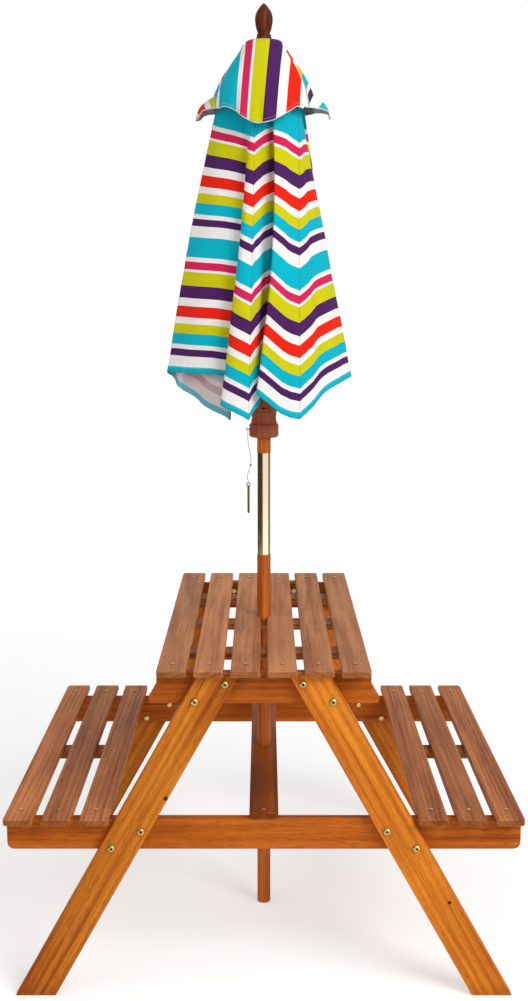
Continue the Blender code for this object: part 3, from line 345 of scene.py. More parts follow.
# The knot that shows on each leg's outer face, with its radius
LEG_KNOTS = {
    "front_left": (-0.1700, -0.3750, 0.3665, 0.0055),
    "front_right": (0.3250, -0.3750, 0.1750, 0.0045),
    "rear_left": (-0.3300, 0.3750, 0.1400, 0.0050),
    "rear_right": (0.1900, 0.3750, 0.4100, 0.0040),
}
# How light each board is, where the fourth one's two lengths of wood meet, and how that line
# fades
TOP_TONES = (1.06, 1.28, 1.24, 1.28, 1.16, 1.04)
BENCH_TONES = {"left": (1.34, 1.16, 1.36), "right": (1.20, 1.08, 1.22)}
# The rear cleat's low tone is painted shade, for its inner face in the shade under the table top
CLEAT_TONES_AND_SHADE = {"front": 0.92, "rear": 0.6}
JOINTED_SLAT = 3
SLAT_JOINT = -0.002
JOINT_LINE = (0.0003, 0.0009)
# How the wood's grain lies: the turn that brings the local Z axis to it
GRAIN = {"X": (0, math.pi / 2, 0), "Y": (-math.pi / 2, 0, 0), "Z": (0, 0, 0)}
# Where the log's centre is beside a board, how its rings bend and lean, and how boards differ
LOG_REACH = 0.060
RING_BEND = 0.018
RING_LEAN = 0.008
SEED_STEP = (0.731, 0.413, 0.577)
# How fine the wood's patterns are across, through and along the grain, as parts of a metre
BEND_FINENESS = (16, 16, 1.8)
STREAK_FINENESS = (75, 75, 1.3)
BLOTCH_FINENESS = (20, 20, 5)
FIBRE_FINENESS = (620, 620, 9)
PORE_FINENESS = (1500, 1500, 55)
# How much streaks, fibres and blotches count beside the growth lines, and the wood's middle
STREAK_AMOUNT, FIBRE_AMOUNT, BLOTCH_AMOUNT = 1.9, 0.9, 1.1
MIDDLE_DARKNESS = 0.42
PORE_STEP = (0.56, 0.70)
# How wide the growth lines are: on most pieces, on rails, and on legs and the runner
NARROW_GROWTH, RAIL_GROWTH, WIDE_GROWTH = 0.0075, 0.011, 0.012
WOOD_RELIEF = 0.00018
SCRATCH_RELIEF = 0.0002
# The runner's turned grooves, and the corner in which its tack stands out
GROOVE_PITCH = 0.0036
GROOVE_RELIEF = 0.0003
TACK_LEFT = (-0.02885, -0.02870)
TACK_TOP = (0.984, 0.986)
# The width of the camera's film in millimetres, and how far to the right it stands
FILM_WIDTH = 36.0
CAMERA_ASIDE = 0.0002
# The floor, the walls that only reflections see, and the lamps with their sizes and places
FLOOR_REACH = 60.0
FLOOR_SHADES = ((0.80, 0.80, 0.80), (0.74, 0.74, 0.74))
GLOW_SPAN = (0.6, 5.0)
GLOW_NEAR, GLOW_FAR = 0.42, 0.64
WALL_REACH, WALL_HEIGHT, WALL_COLUMNS = 3.4, 3.2, 30
WALL_SPANS = ((-140, -20), (82, 140))
WALL_BROWNS = ((0.03, 0.024, 0.018), (0.12, 0.09, 0.06))
RIGHT_WALL = (0.28, 0.26, 0.20)
LAMPS = {"key": (2.2, (2.5, -3.0, 3.0)), "fill": (3.0, (-2.9, -2.6, 1.9))}


def paint(red, green, blue):
    """A colour as a screen shows it, from 0 to 255, as the light that Blender counts in."""
    shares = np.array((red, green, blue)) / 255
    light = np.where(shares <= 0.04045, shares / 12.92, ((shares + 0.055) / 1.055) ** 2.4)
    return tuple(float(channel) for channel in light)


def tinted(colour, tone):
    """A colour made lighter or darker by a number round 1."""
    return [channel * tone for channel in colour]


class Value:
    """A number from a socket of a shader. Arithmetic on it adds that shader's Math nodes."""

    def __init__(self, shader, socket):
        self.shader, self.socket = shader, socket

    def math(self, operation, *terms):
        return self.shader.node("ShaderNodeMath", {"operation": operation}, dict(enumerate(terms)))

    def __add__(self, other):
        return self.math("ADD", self, other)

    def __sub__(self, other):
        return self.math("SUBTRACT", self, other)

    def __rsub__(self, other):
        return self.math("SUBTRACT", other, self)

    def __mul__(self, other):
        return self.math("MULTIPLY", self, other)

    def __truediv__(self, other):
        return self.math("DIVIDE", self, other)

    def __pow__(self, other):
        return self.math("POWER", self, other)

    __radd__ = __add__
    __rmul__ = __mul__

    def size(self):
        return self.math("ABSOLUTE", self)

    def sine(self):
        return self.math("SINE", self)

    def rest_of(self, step):
        """What is left over after whole steps, as a share of one step."""
        return self.math("FRACT", self / step)

    def rise(self, low, high):
        """0 below low, 1 above high and a smooth step between."""
        return self.shader.node(
            "ShaderNodeMapRange", {"interpolation_type": "SMOOTHSTEP"},
            {"Value": self, "From Min": low, "From Max": high},
        )

    def fall(self, low, high):
        return 1 - self.rise(low, high)


class Shader:
    """The nodes of a material, or of the world. Constants go on the surface's own sockets."""

    def __init__(self, name, constants, store="materials", surface="Principled BSDF"):
        self.owner = getattr(bpy.data, store).new(name)
        self.owner.use_nodes = True
        self.tree = self.owner.node_tree
        self.surface = self.tree.nodes[surface]
        for socket, value in constants.items():
            self.put(self.surface.inputs[socket], value)

    def node(self, kind, settings=None, inputs=None, output=0):
        """Adds a node: first its settings, then the values or links of its sockets."""
        made = self.tree.nodes.new(kind)
        for name, value in (settings or {}).items():
            if name == "stops":
                self.set_stops(made.color_ramp, value)
            else:
                setattr(made, name, value)
        for name, value in (inputs or {}).items():
            self.put(made.inputs[name], value)
        return Value(self, made.outputs[output])

    def put(self, socket, value):
        if isinstance(value, Value):
            self.tree.links.new(value.socket, socket)
        elif socket.type == "RGBA" and len(value) == 3:
            socket.default_value = (*value, 1)
        else:
            socket.default_value = value

    def set_stops(self, ramp, stops):
        """Hard edged bands: each stop is a place from 0 to 1 and the colour after it."""
        ramp.interpolation = "CONSTANT"
        while len(ramp.elements) < len(stops):
            ramp.elements.new(1)
        for element, (place, colour) in zip(ramp.elements, stops):
            element.position = place
            element.color = (*colour, 1)

    def mix(self, amount, first, second):
        settings = {"data_type": "RGBA", "clamp_factor": True}
        return self.node("ShaderNodeMix", settings, {0: amount, 6: first, 7: second}, 2)

    def shade(self, colour, amount):
        """The colour made lighter or darker by a number round 1."""
        settings = {"operation": "SCALE"}
        return self.node("ShaderNodeVectorMath", settings, {0: colour, "Scale": amount})

    def place(self):
        return self.node("ShaderNodeTexCoord", output="Object")

    def facing(self):
        return self.node("ShaderNodeTexCoord", output="Normal")

    def uv(self, name):
        return self.node("ShaderNodeUVMap", {"uv_map": name})

    def parts(self, vector):
        """The three numbers of a vector."""
        split = self.node("ShaderNodeSeparateXYZ", inputs={0: vector}).socket.node
        return [Value(self, socket) for socket in split.outputs]

    def turned(self, vector, turn):
        """The vector as it is along a grain that lies at this turn."""
        inputs = {"Vector": vector, "Rotation": turn}
        return self.node("ShaderNodeMapping", {"vector_type": "TEXTURE"}, inputs)

    def noise(self, vector, fineness, detail=2.0, roughness=0.5):
        """Soft noise round a half, with one fineness for all directions or one for each of three."""
        if isinstance(fineness, tuple):
            vector = self.node("ShaderNodeMapping", inputs={"Vector": vector, "Scale": fineness})
            fineness = 1.0
        inputs = {"Vector": vector, "Scale": fineness, "Detail": detail, "Roughness": roughness}
        return self.node("ShaderNodeTexNoise", inputs=inputs)

    def plainly_seen(self):
        """1 or more for rays from the camera, a mirror or a clear surface, and 0 for others."""
        kinds = ("Is Camera Ray", "Is Glossy Ray", "Is Transmission Ray")
        camera, mirror, clear = (self.node("ShaderNodeLightPath", output=kind) for kind in kinds)
        return camera + mirror + clear

    def finish(self, colour, roughness=None, metallic=None, height=None, depth=WOOD_RELIEF):
        """Links what varies. The height is a share of the depth, which is in metres."""
        for socket, value in (
            ("Base Color", colour), ("Roughness", roughness), ("Metallic", metallic),
        ):
            if value is not None:
                self.put(self.surface.inputs[socket], value)
        if height is not None:
            bump = self.node("ShaderNodeBump", inputs={"Height": height, "Distance": depth})
            self.put(self.surface.inputs["Normal"], bump)
        return self.owner


def wood_pattern(shader, turn, seed, streaks, growth_width):
    """How dark the wood is, its fibres and its pores. The first is the sum of the growth lines,
    which follow the sine of the distance from a log's centre, of long streaks, fibres and
    blotches."""
    local = shader.turned(shader.place(), turn)
    across, through, along = shader.parts(local)
    shift = [step * (seed + 1) for step in SEED_STEP]
    moved = shader.node("ShaderNodeMapping", inputs={"Vector": local, "Location": shift})
    bend = shader.noise(moved, BEND_FINENESS, 3) - 0.5
    long = shader.noise(moved, STREAK_FINENESS, 3, 0.6)
    blotch = shader.noise(moved, BLOTCH_FINENESS)
    fibre = shader.noise(moved, FIBRE_FINENESS, 3, 0.6)
    pores = shader.noise(moved, PORE_FINENESS, 1)
    side = 1 if seed % 2 else -1
    centre = side * LOG_REACH * (0.75 + 0.25 * math.sin(seed * 2.4))
    reach = ((across - centre) ** 2.0 + (through + LOG_REACH * 0.6) ** 2.0) ** 0.5
    ring = (reach + bend * RING_BEND + along * RING_LEAN * side) * (TURN / growth_width)
    growth = (ring.sine() * 0.5 + 0.5) ** 1.8
    dark = (growth - 0.35) * streaks + (long - 0.5) * STREAK_AMOUNT
    dark = dark + (fibre - 0.5) * FIBRE_AMOUNT + (blotch - 0.5) * BLOTCH_AMOUNT
    return dark + MIDDLE_DARKNESS, fibre, pores.rise(*PORE_STEP)


def wood(name, grain, light, dark, seed=0, streaks=0.30, tone=1.0, gloss=0.5, joint=None,
         growth_width=NARROW_GROWTH):
    """Oiled hardwood, with darker end grain and, where one is given, a joint of two lengths."""
    shader = Shader(name, {"Specular IOR Level": 0.10})
    turn = GRAIN[grain]
    amount, fibre, pores = wood_pattern(shader, turn, seed, streaks, growth_width)
    dark = tinted(dark, tone)
    colour = shader.mix(amount, tinted(light, tone), dark)
    colour = shader.mix(pores * 0.45, colour, tinted(dark, 0.45))
    if joint is not None:
        along, warm = joint
        _, ahead, _ = shader.parts(shader.place())
        near = ahead.fall(along - LINE_BLUR, along + LINE_BLUR)
        colour = shader.mix(near * 0.35, colour, warm)
        line = (ahead - along).size().fall(*JOINT_LINE)
        colour = shader.mix(line * 0.8, colour, tinted(dark, 0.25))
    end = shader.parts(shader.turned(shader.facing(), turn))[2].size().rise(0.75, 0.95)
    colour = shader.mix(end * 0.45, colour, tinted(dark, 0.55))
    rough = 1 - gloss + (fibre - 0.5) * 0.25 + pores * 0.1
    return shader.finish(colour, rough, height=fibre * 0.6 - pores)


def leg_wood(name, side, light, dark, metal_colour, seed, tone, knot):
    """The leg's honey wood, with a knot and a foot that is darker towards the bottom, and with its
    bolts' washers and nuts in metal beyond its two faces."""
    shader = Shader(name, {"Specular IOR Level": 0.14})
    turn = (0, -side * LEG_LEAN, 0)
    amount, fibre, pores = wood_pattern(shader, turn, seed, 0.34, WIDE_GROWTH)
    dark = tinted(dark, tone)
    colour = shader.mix(amount, tinted(light, tone), dark)
    colour = shader.mix(pores * 0.5, colour, tinted(dark, 0.4))
    *place, radius = knot
    away = shader.node("ShaderNodeVectorMath", {"operation": "DISTANCE"},
                       {0: shader.place(), 1: place}, "Value")
    colour = shader.mix(away.fall(radius * 0.45, radius), colour, tinted(dark, 0.16))
    _, depth, height = shader.parts(shader.place())
    outer = depth.size()
    foot = height.fall(0.0, LEG_FOOT_DARK_HEIGHT)
    # The foot is darker towards the bottom
    colour = shader.mix(foot * 0.30, colour, tinted(dark, 0.5))
    hard = outer.rise(*OUTER_METAL) + outer.fall(*INNER_METAL)
    colour = shader.mix(hard, colour, metal_colour)
    rough = (0.48 + (fibre - 0.5) * 0.25) * (1 - hard) + hard * 0.34
    return shader.finish(colour, rough, hard, height=(fibre * 0.6 - pores) * (1 - hard))


def runner_wood(name, light, dark, metal_colour):
    """Dark turned wood, with the tack in its ring in metal."""
    shader = Shader(name, {"Specular IOR Level": 0.35})
    amount, fibre, pores = wood_pattern(shader, GRAIN["Z"], 33, 0.12, WIDE_GROWTH)
    colour = shader.mix(amount * 0.7, tinted(light, 1.6), dark)
    colour = shader.mix(pores * 0.4, colour, tinted(dark, 0.5))
    left, _, height = shader.parts(shader.place())
    grooves = (height * (TURN / GROOVE_PITCH)).sine().rise(0.55, 1.0)
    # Painted shade in the turned grooves, which are darkened where shade falls in them
    colour = shader.mix(grooves * 0.25, colour, tinted(dark, 0.5))
    tack = left.fall(*TACK_LEFT) * height.fall(*TACK_TOP)
    colour = shader.mix(tack, colour, metal_colour)
    rough = (0.40 + (fibre - 0.5) * 0.2) * (1 - tack) + tack * 0.3
    relief = (fibre * 0.4 - grooves) * (1 - tack)
    return shader.finish(colour, rough, tack, relief, GROOVE_RELIEF)


def metal(name, colour, roughness, dull, spots, along=(1, 1, 1), scratch=0.18):
    """Plated metal: its colour and gloss change in soft patches, with fine scratches."""
    shader = Shader(name, {"Metallic": 1.0})
    place = shader.place()
    patches = shader.noise(place, 60, 4, 0.6)
    scratches = shader.noise(place, tuple(900 * share for share in along))
    worn = patches.rise(0.42, 0.68) * spots
    rough = roughness + worn * 0.35 + (scratches - 0.5) * scratch
    shade = shader.mix(worn, colour, dull)
    return shader.finish(shade, rough, height=scratches, depth=scratch * SCRATCH_RELIEF)


def head_metal(name, metals, socket=None):
    """Zinc plated heads. Their UV map holds the radius as a share, and then 1 inside a slot. A
    head with a socket has painted shade inside it, and one with a slot has painted shade in the
    slot and at its rim."""
    shader = Shader(name, {"Metallic": 1.0})
    patches = shader.noise(shader.place(), 220, 3, 0.6).rise(0.4, 0.7)
    shade = shader.mix(patches * 0.55, tuple(metals.zinc), tuple(metals.dull))
    dark = tuple(metals.dark)
    reach, low, _ = shader.parts(shader.uv("head"))
    hole = reach.fall(socket * 0.92, socket * 1.02) if socket else low.rise(0.4, 0.6)
    # Painted shade inside the slot or the socket
    shade = shader.mix(hole * 0.9, shade, dark)
    if not socket:
        # Painted shade: a dark ring round a slotted head's rim
        shade = shader.mix(reach.rise(0.82, 0.96) * 0.75, shade, dark)
    return shader.finish(shade, 0.30 + patches * 0.22 + hole * 0.3)


def stripe_stops(colours):
    """Where each stripe begins, as a share of the period, with its colour."""
    starts = np.concatenate([[0], np.cumsum([width for _, width in STRIPES])[:-1]])
    return [
        (float(start / STRIPE_PERIOD), colours[name])
        for start, (name, _) in zip(starts, STRIPES)
    ]


def thread_pattern(shader, across, down):
    """A plain weave: two sets of threads whose heights go up and down in turn, with slubs."""
    weft, warp = ((way * (TURN / THREAD_PITCH)).sine() for way in (down, across))
    both = shader.node("ShaderNodeCombineXYZ", inputs={0: across, 1: down})
    slubs = shader.noise(both, (28, 900, 1)) - 0.5
    lines = shader.noise(both, (900, 28, 1)) - 0.5
    fading = shader.noise(both, 9, 3) - 0.5
    return weft * warp * 0.5 + 0.5, slubs * 0.30 + lines * 0.18 + fading * 0.16


def cloth(name, colours, kind, inside=None):
    """Striped cotton: bands along the cut, threads, and the canopy's seams and bound hem or the
    cap's narrow one, both with stitches. The inside is faded."""
    constants = {"Sheen Weight": 0.04, "Sheen Roughness": 0.6, "Specular IOR Level": 0.08}
    shader = Shader(name, constants)
    across, down, _ = shader.parts(shader.uv("cut"))
    beside, edge, _ = shader.parts(shader.uv("edges"))
    if kind == "canopy":
        band = (down - (GORE_LENGTH - BINDING_WIDTH)).rest_of(STRIPE_PERIOD)
        band = band * down.rise(TEAL_TOP - LINE_BLUR, TEAL_TOP)
        hem, hem_colour = edge.fall(BINDING_WIDTH - LINE_BLUR, BINDING_WIDTH + LINE_BLUR), "teal"
        seam, stitch_place = beside.fall(LINE_BLUR, SEAM_REACH), BINDING_WIDTH - STITCH_INSET
    else:
        turned = across * math.cos(CAP_STRIPE_TURN) - down * math.sin(CAP_STRIPE_TURN)
        band = (turned + LIME_MIDDLE).rest_of(STRIPE_PERIOD)
        hem, hem_colour = edge.fall(*CAP_EDGE_LINE), "white"
        seam, stitch_place = edge.fall(*CAP_SEAM_LINE) * 0.4, CAP_STITCH_LINE
    colour = shader.node("ShaderNodeValToRGB", {"stops": stripe_stops(colours)}, {0: band})
    colour = shader.mix(hem, colour, colours[hem_colour])
    weave, thread = thread_pattern(shader, across, down)
    stitch_line = (edge - stitch_place).size().fall(LINE_BLUR, STITCH_WIDTH)
    stitches = (across * (TURN / STITCH_PITCH)).sine().rise(-0.4, 0.0) * stitch_line
    colour = shader.mix(stitches * 0.35, colour, colours["white"])
    colour = shader.mix(seam * 0.30, colour, tinted(colours["purple"], 0.3))
    if inside is not None:
        faded = 0.72 - hem * 0.55 if kind == "canopy" else 0.72
        colour = shader.mix(faded, colour, inside)
    colour = shader.shade(colour, thread + 1.0)
    relief = weave * 0.4 + seam * 2 - stitches
    return shader.finish(colour, 0.82 + thread * 0.2, height=relief, depth=CLOTH_RELIEF)


def cord_fibre(name, light, dark):
    """Twisted fibre: two lines of painted shade between the plies and finer strands wind round
    the cord, with some fuzz.
    """
    shader = Shader(name, {"Sheen Weight": 0.3, "Specular IOR Level": 0.2})
    round_it, along, _ = shader.parts(shader.uv("twist"))
    lines, strands = (
        round_it * count + along * (count / CORD_TWIST) for count in (CORD_LINES, CORD_STRANDS))
    lines = (lines * math.pi).sine().size()
    strands = (strands * TURN).sine() * 0.5 + 0.5
    fuzz = shader.noise(shader.place(), 3000, 2)
    # Painted shade: the cord is darker in the two grooves between its plies
    colour = shader.mix(lines.fall(0.05, 0.55), light, dark)
    colour = shader.mix(strands * 0.2 + fuzz * 0.2, colour, dark)
    height = lines + strands * 0.3
    return shader.finish(colour, 0.85 + fuzz * 0.1, height=height, depth=CORD_RELIEF)


def edit_mesh(mesh, change):
    """Changes a mesh by one of the mesh editor's own tools."""
    shape = bmesh.new()
    shape.from_mesh(mesh)
    change(shape)
    shape.to_mesh(mesh)
    shape.free()


def make_mesh(name, points, closed=(False, True), uvs=None, material=None, flip=False):
    """A surface from a grid of points, or from several grids: its first axis counts them when
    there are four. Rows or columns are closed on themselves where asked. Points that coincide
    are merged, so that poles and seams are whole."""
    grids = points if points.ndim == 4 else points[None]
    count, rows, columns = grids.shape[:3]
    row, column = np.meshgrid(
        np.arange(rows - (not closed[0])), np.arange(columns - (not closed[1])), indexing="ij"
    )
    below, after = (row + 1) % rows, (column + 1) % columns
    quads = np.stack([
        row * columns + column, below * columns + column, below * columns + after,
        row * columns + after,
    ], axis=-1).reshape(-1, 4)
    if flip:
        quads = quads[:, ::-1]
    quads = (quads[None] + (np.arange(count) * rows * columns)[:, None, None]).reshape(-1, 4)
    mesh = bpy.data.meshes.new(name)
    mesh.from_pydata(grids.reshape(-1, 3).tolist(), [], quads.tolist())
    for layer, grid in (uvs or {}).items():
        values = np.broadcast_to(grid, (*grids.shape[:3], 2)).reshape(-1, 2)[quads.ravel()]
        loops = mesh.uv_layers.new(name=layer)
        loops.uv.foreach_set("vector", np.ascontiguousarray(values, np.float32).ravel())
    edit_mesh(mesh, lambda shape: bmesh.ops.remove_doubles(
        shape, verts=shape.verts, dist=MERGE_REACH))
    mesh.shade_smooth()
    obj = bpy.data.objects.new(name, mesh)
    bpy.context.scene.collection.objects.link(obj)
    if material:
        mesh.materials.append(material)
    return obj


def outwards(obj):
    """Turns the faces of a closed piece outwards."""
    edit_mesh(obj.data, lambda shape: bmesh.ops.recalc_face_normals(shape, faces=shape.faces))


def wrap_uv(obj, layer, width):
    """Where a face crosses the closing column, its corners at the start go past the end."""
    mesh = obj.data
    values = np.empty(len(mesh.loops) * 2, np.float32)
    mesh.uv_layers[layer].uv.foreach_get("vector", values)
    values = values.reshape(-1, 2)
    starts = np.empty(len(mesh.polygons), np.int32)
    sizes = np.empty(len(mesh.polygons), np.int32)
    mesh.polygons.foreach_get("loop_start", starts)
    mesh.polygons.foreach_get("loop_total", sizes)
    owner = np.repeat(np.arange(len(starts)), sizes)
    most = np.maximum.reduceat(values[:, 0], starts)[owner]
    values[:, 0] += np.where(most - values[:, 0] > width / 2, width, 0)
    mesh.uv_layers[layer].uv.foreach_set("vector", values.ravel())


def ramp(value, low, high):
    """0 below low, 1 above high and a straight line between."""
    return np.clip((value - low) / (high - low), 0, 1)


def look_up(table, place):
    """The value at a place in a table of places and values, straight between its rows."""
    return np.interp(place, *zip(*table))


def pairs(first, second):
    """Two numbers for each point of a grid."""
    return np.stack(np.broadcast_arrays(first, second), axis=-1)


def angles(count):
    """So many angles, evenly round a whole turn."""
    return np.arange(count) * TURN / count


def spun(radius, height, angle):
    """Points at these radii, heights and angles round the Z axis."""
    points = (radius * np.cos(angle), radius * np.sin(angle), height)
    return np.stack(np.broadcast_arrays(*points), axis=-1)


def unit(vectors):
    """The same directions, each one unit long."""
    return vectors / np.linalg.norm(vectors, axis=-1, keepdims=True)


def path_lengths(points):
    """The distance from the first point of a curve, or of each column of a grid."""
    steps = np.linalg.norm(np.diff(points, axis=0), axis=-1)
    return np.concatenate([np.zeros((1, *steps.shape[1:])), np.cumsum(steps, axis=0)])


def sampled(curve, lengths, wanted):
    """The points of a curve at these distances along it."""
    return np.column_stack([np.interp(wanted, lengths, line) for line in curve.T])


def smooth_closed(table, samples):
    """A closed curve of cubics through the rows of a table, with so many points a row. At each
    row it runs the way that leads from the row before to the row after."""
    before, after, beyond = np.roll(table, 1, 0), np.roll(table, -1, 0), np.roll(table, -2, 0)
    step = np.arange(samples)[None, :, None] / samples
    start, towards = table[:, None], (after - before)[:, None]
    curve = 0.5 * (
        2 * start + towards * step
        + (2 * before[:, None] - 5 * start + 4 * after[:, None] - beyond[:, None]) * step**2
        + (3 * start - before[:, None] - 3 * after[:, None] + beyond[:, None]) * step**3
    )
    return curve.reshape(-1, table.shape[1])


def smooth_open(points, count):
    """Evenly spaced points on an open curve of cubics, and its length. At each point it runs the
    way that leads from the point before to the point after, with one more beyond each end."""
    knots = np.array(points, float)
    knots = np.vstack([2 * knots[0] - knots[1], knots, 2 * knots[-1] - knots[-2]])
    a, b, c, d = (knots[i : len(knots) - 3 + i][:, None] for i in range(4))
    step = np.arange(CURVE_STEPS)[None, :, None] / CURVE_STEPS
    fine = 0.5 * (2 * b + (c - a) * step + (2 * a - 5 * b + 4 * c - d) * step**2
                  + (3 * b - a - 3 * c + d) * step**3)
    fine = np.vstack([fine.reshape(-1, knots.shape[1]), knots[-2]])
    lengths = path_lengths(fine)
    return sampled(fine, lengths, np.linspace(0, lengths[-1], count)), lengths[-1]


def surface_normals(grid):
    """Across each point: the cross product of the grid's two directions, the columns closed."""
    down = np.gradient(grid, axis=0)
    round_it = (np.roll(grid, -1, 1) - np.roll(grid, 1, 1)) / 2
    normal = np.cross(down, round_it)
    return normal / np.maximum(np.linalg.norm(normal, axis=2, keepdims=True), 1e-12)


def circles(ahead, beside, angle):
    """Unit circles across a path that runs ahead: each point is the cosine of its angle along
    one direction across the path, which is square to beside, and its sine along the other."""
    ahead = unit(ahead)
    across = unit(np.cross(ahead, beside))
    other = np.cross(ahead, across)
    turn = angle[None, :, None]
    return np.cos(turn) * across[:, None] + np.sin(turn) * other[:, None]


def twisted_cord(path, along, angle):
    """A tube round the path. The cosine of the angle, turned further on along the cord, makes
    its radius swell at the two plies. Its ends are drawn in to a point."""
    plies = np.abs(np.cos(angle + along[:, None] * math.pi / CORD_TWIST))
    radius = CORD_RADIUS * (1 - CORD_GROOVE_SHARE + CORD_GROOVE_SHARE * plies)
    rings = circles(np.gradient(path, axis=0), (0.0, 1.0, 0.0), angle)
    ends = np.repeat(path[[0, -1]][:, None], len(angle), 1)
    return np.concatenate([ends[:1], path[:, None] + radius[..., None] * rings, ends[1:]])


def cord_knot(turn, angle):
    """A trefoil, from the sines and cosines of one, two and three turns, which sits on the
    cord."""
    away = np.column_stack([
        np.sin(turn) + 2 * np.sin(2 * turn),
        -1.2 * np.sin(3 * turn),
        np.cos(turn) - 2 * np.cos(2 * turn),
    ]) * KNOT_SIZE
    middle = away + np.array(KNOT_PLACE)
    ahead = np.roll(middle, -1, 0) - np.roll(middle, 1, 0)
    return middle[:, None] + KNOT_RADIUS * circles(ahead, away, angle)


def gore_side(place):
    """Where a place of the cut is across its gore: -1 and 1 at its seams, 0 in its middle."""
    return (place - np.floor(place) - 0.5) * 2


def canopy_plan(columns):
    """For evenly spaced columns round the hem: the place in the cut, and the X and Y at the hem
    and at the fold line, on closed curves through the rows of the table."""
    table = np.array(FOLD_SHARES)
    fine = smooth_closed(table[:, 1:] * FLAP_REACH, PLAN_STEPS)
    place = np.append(table[:, 0], RIB_COUNT)
    place = np.interp(np.arange(len(fine) + 1) / PLAN_STEPS, np.arange(len(place)), place)
    closed = np.vstack([fine, fine[:1]])
    length = path_lengths(closed[:, :2])
    wanted = np.arange(columns) * length[-1] / columns
    plan = sampled(closed, length, wanted)
    return np.interp(wanted, length, place), plan[:, :2], plan[:, 2:]


def canopy_rows():
    """The share of the way down of each row, close together round the binding's edge."""
    binding = BINDING_TOP_SHARE + np.array(BINDING_STEP_SHARES)
    return np.concatenate([
        np.linspace(0, SHOULDER_SHARE, SHOULDER_ROWS)[:-1],
        np.linspace(SHOULDER_SHARE, FOLD_SHARE, FOLD_ROWS)[:-1],
        np.linspace(FOLD_SHARE, binding[0], FLAP_ROWS)[:-1],
        binding, [1.0],
    ])[:, None]


def canopy_folds(place, hem, fold, share):
    """The closed canopy's folds. Above the shoulder the radius follows a quarter sine from ring
    to shoulder. Below it each column is a straight line from the shoulder to the fold line and
    on to the hem, rounded where they meet, and its height falls evenly to the hem. The hem
    hangs where the straight ray of its gore, which lengthens from mid gore to seam, reaches it,
    and the table of lifts raises it. Half a sine down the cloth moves the bulges sideways."""
    azimuth = RIB_TURN - place * TURN / RIB_COUNT
    ring = np.column_stack([np.sin(azimuth), -np.cos(azimuth)])
    apex = CANOPY_TOP - CLOTH_THICKNESS / 2
    ray = GORE_LENGTH * np.sqrt(1 + (gore_side(place) * GORE_SLANT) ** 2)
    hem_height = apex - np.sqrt(ray**2 - (hem**2).sum(1)) + look_up(HEM_LIFTS, place)
    top, down = ramp(share, 0, SHOULDER_SHARE), ramp(share, SHOULDER_SHARE, 1)
    radius = RING_RADIUS + (SHOULDER_RADIUS - RING_RADIUS) * np.sin(top * math.pi / 2)
    height = apex - SHOULDER_DROP * top**6 + (hem_height - apex + SHOULDER_DROP) * down
    part = ramp(share, SHOULDER_SHARE, FOLD_SHARE)[..., None]
    rest = ramp(share, FOLD_SHARE, 1)[..., None]
    flat = ring * radius[..., None] * (1 - part) + fold * part * (1 - rest) + hem * rest
    flat[..., 0] += look_up(FOLD_BULGES, place) * np.sin(math.pi * rest[..., 0])
    grid = np.concatenate([flat, height[..., None]], axis=2)
    first, last = SHOULDER_ROWS, len(grid) - PLAIN_HEM_ROWS
    for _ in range(ROUNDINGS):
        around = grid[first - 1:last - 1] + grid[first + 1:last + 1]
        grid[first:last] = (around + 2 * grid[first:last]) / 4
    return grid


def canopy_waves(place, share, wrinkle):
    """How far the cloth stands off its folds. Sines make long, slanting and cross waves, whose
    places drift with slower sines, and puckers along the binding. The billow, two and a half
    waves on each side of a gore's middle, grows down the cloth and is deeper behind."""
    drift = np.sin(TURN * place / 2)
    swing = np.sin(TURN * (share * LONG_DRIFT_WAVES + place / 4))
    long = np.sin(TURN * (place * LONG_WAVES + LONG_DRIFT * swing))
    slant = np.sin(TURN * (place * SLANT_WAVES - share * SLANT_LEAN + SLANT_DRIFT * drift))
    cross = np.sin(TURN * (share * CROSS_WAVES + CROSS_DRIFT * drift + place / 2))
    waves = LONG_SHARE * long + SLANT_SHARE * slant + CROSS_SHARE * cross
    waves = waves * ramp(share, WAVES_BEGIN_SHARE, WAVES_FULL_SHARE)
    near_hem = ramp(share, BINDING_TOP_SHARE - PUCKER_REACH_SHARE, BINDING_TOP_SHARE)
    pucker = PUCKER_SHARE * np.sin(TURN * place * PUCKERS) * near_hem
    behind = ramp(place, BEHIND_BEGINS, BEHIND_FULL) * (1 - ramp(place, BEHIND_FADES, BEHIND_ENDS))
    billow = (FRONT_BILLOW + (BACK_BILLOW - FRONT_BILLOW) * behind) * share
    flutter = np.sin(TURN * BILLOWS * gore_side(place))
    flutter = flutter * billow * ramp(share, SHOULDER_SHARE, BILLOW_FULL_SHARE)
    return (waves + pucker) * wrinkle + flutter


def canopy_cut(place, share):
    """In metres: each point's place on the flat cloth, less what its stripes have slipped, and
    how far it is from the nearest seam and from the hem."""
    side = gore_side(place)
    half_width = GORE_SLANT * share * GORE_LENGTH
    slip = look_up(STRIPE_SLIPS, place) * (1 - share) ** SLIP_POWER
    slip = slip + look_up(TOP_SLIPS, place) * (
        1 - ramp(share, TOP_SLIP_FULL_SHARE, TOP_SLIP_END_SHARE))
    slip = slip * ramp(share, SLIP_BEGIN_SHARE, SLIP_FULL_SHARE)
    cut = pairs(side * half_width + np.floor(place) * GORE_SPACING, share * GORE_LENGTH - slip)
    return cut, pairs((1 - np.abs(side)) * half_width, (1 - share) * GORE_LENGTH)


def canopy_surface(columns, wrinkle):
    """The closed canopy, whose two parameters are the place round the cut and the share of the
    way down. Its waves lie along the normals of its folds."""
    place, hem, fold = canopy_plan(columns)
    share = canopy_rows()
    grid = canopy_folds(place, hem, fold, share)
    waves = canopy_waves(place, share, wrinkle)
    return grid + surface_normals(grid) * waves[..., None], *canopy_cut(place, share)


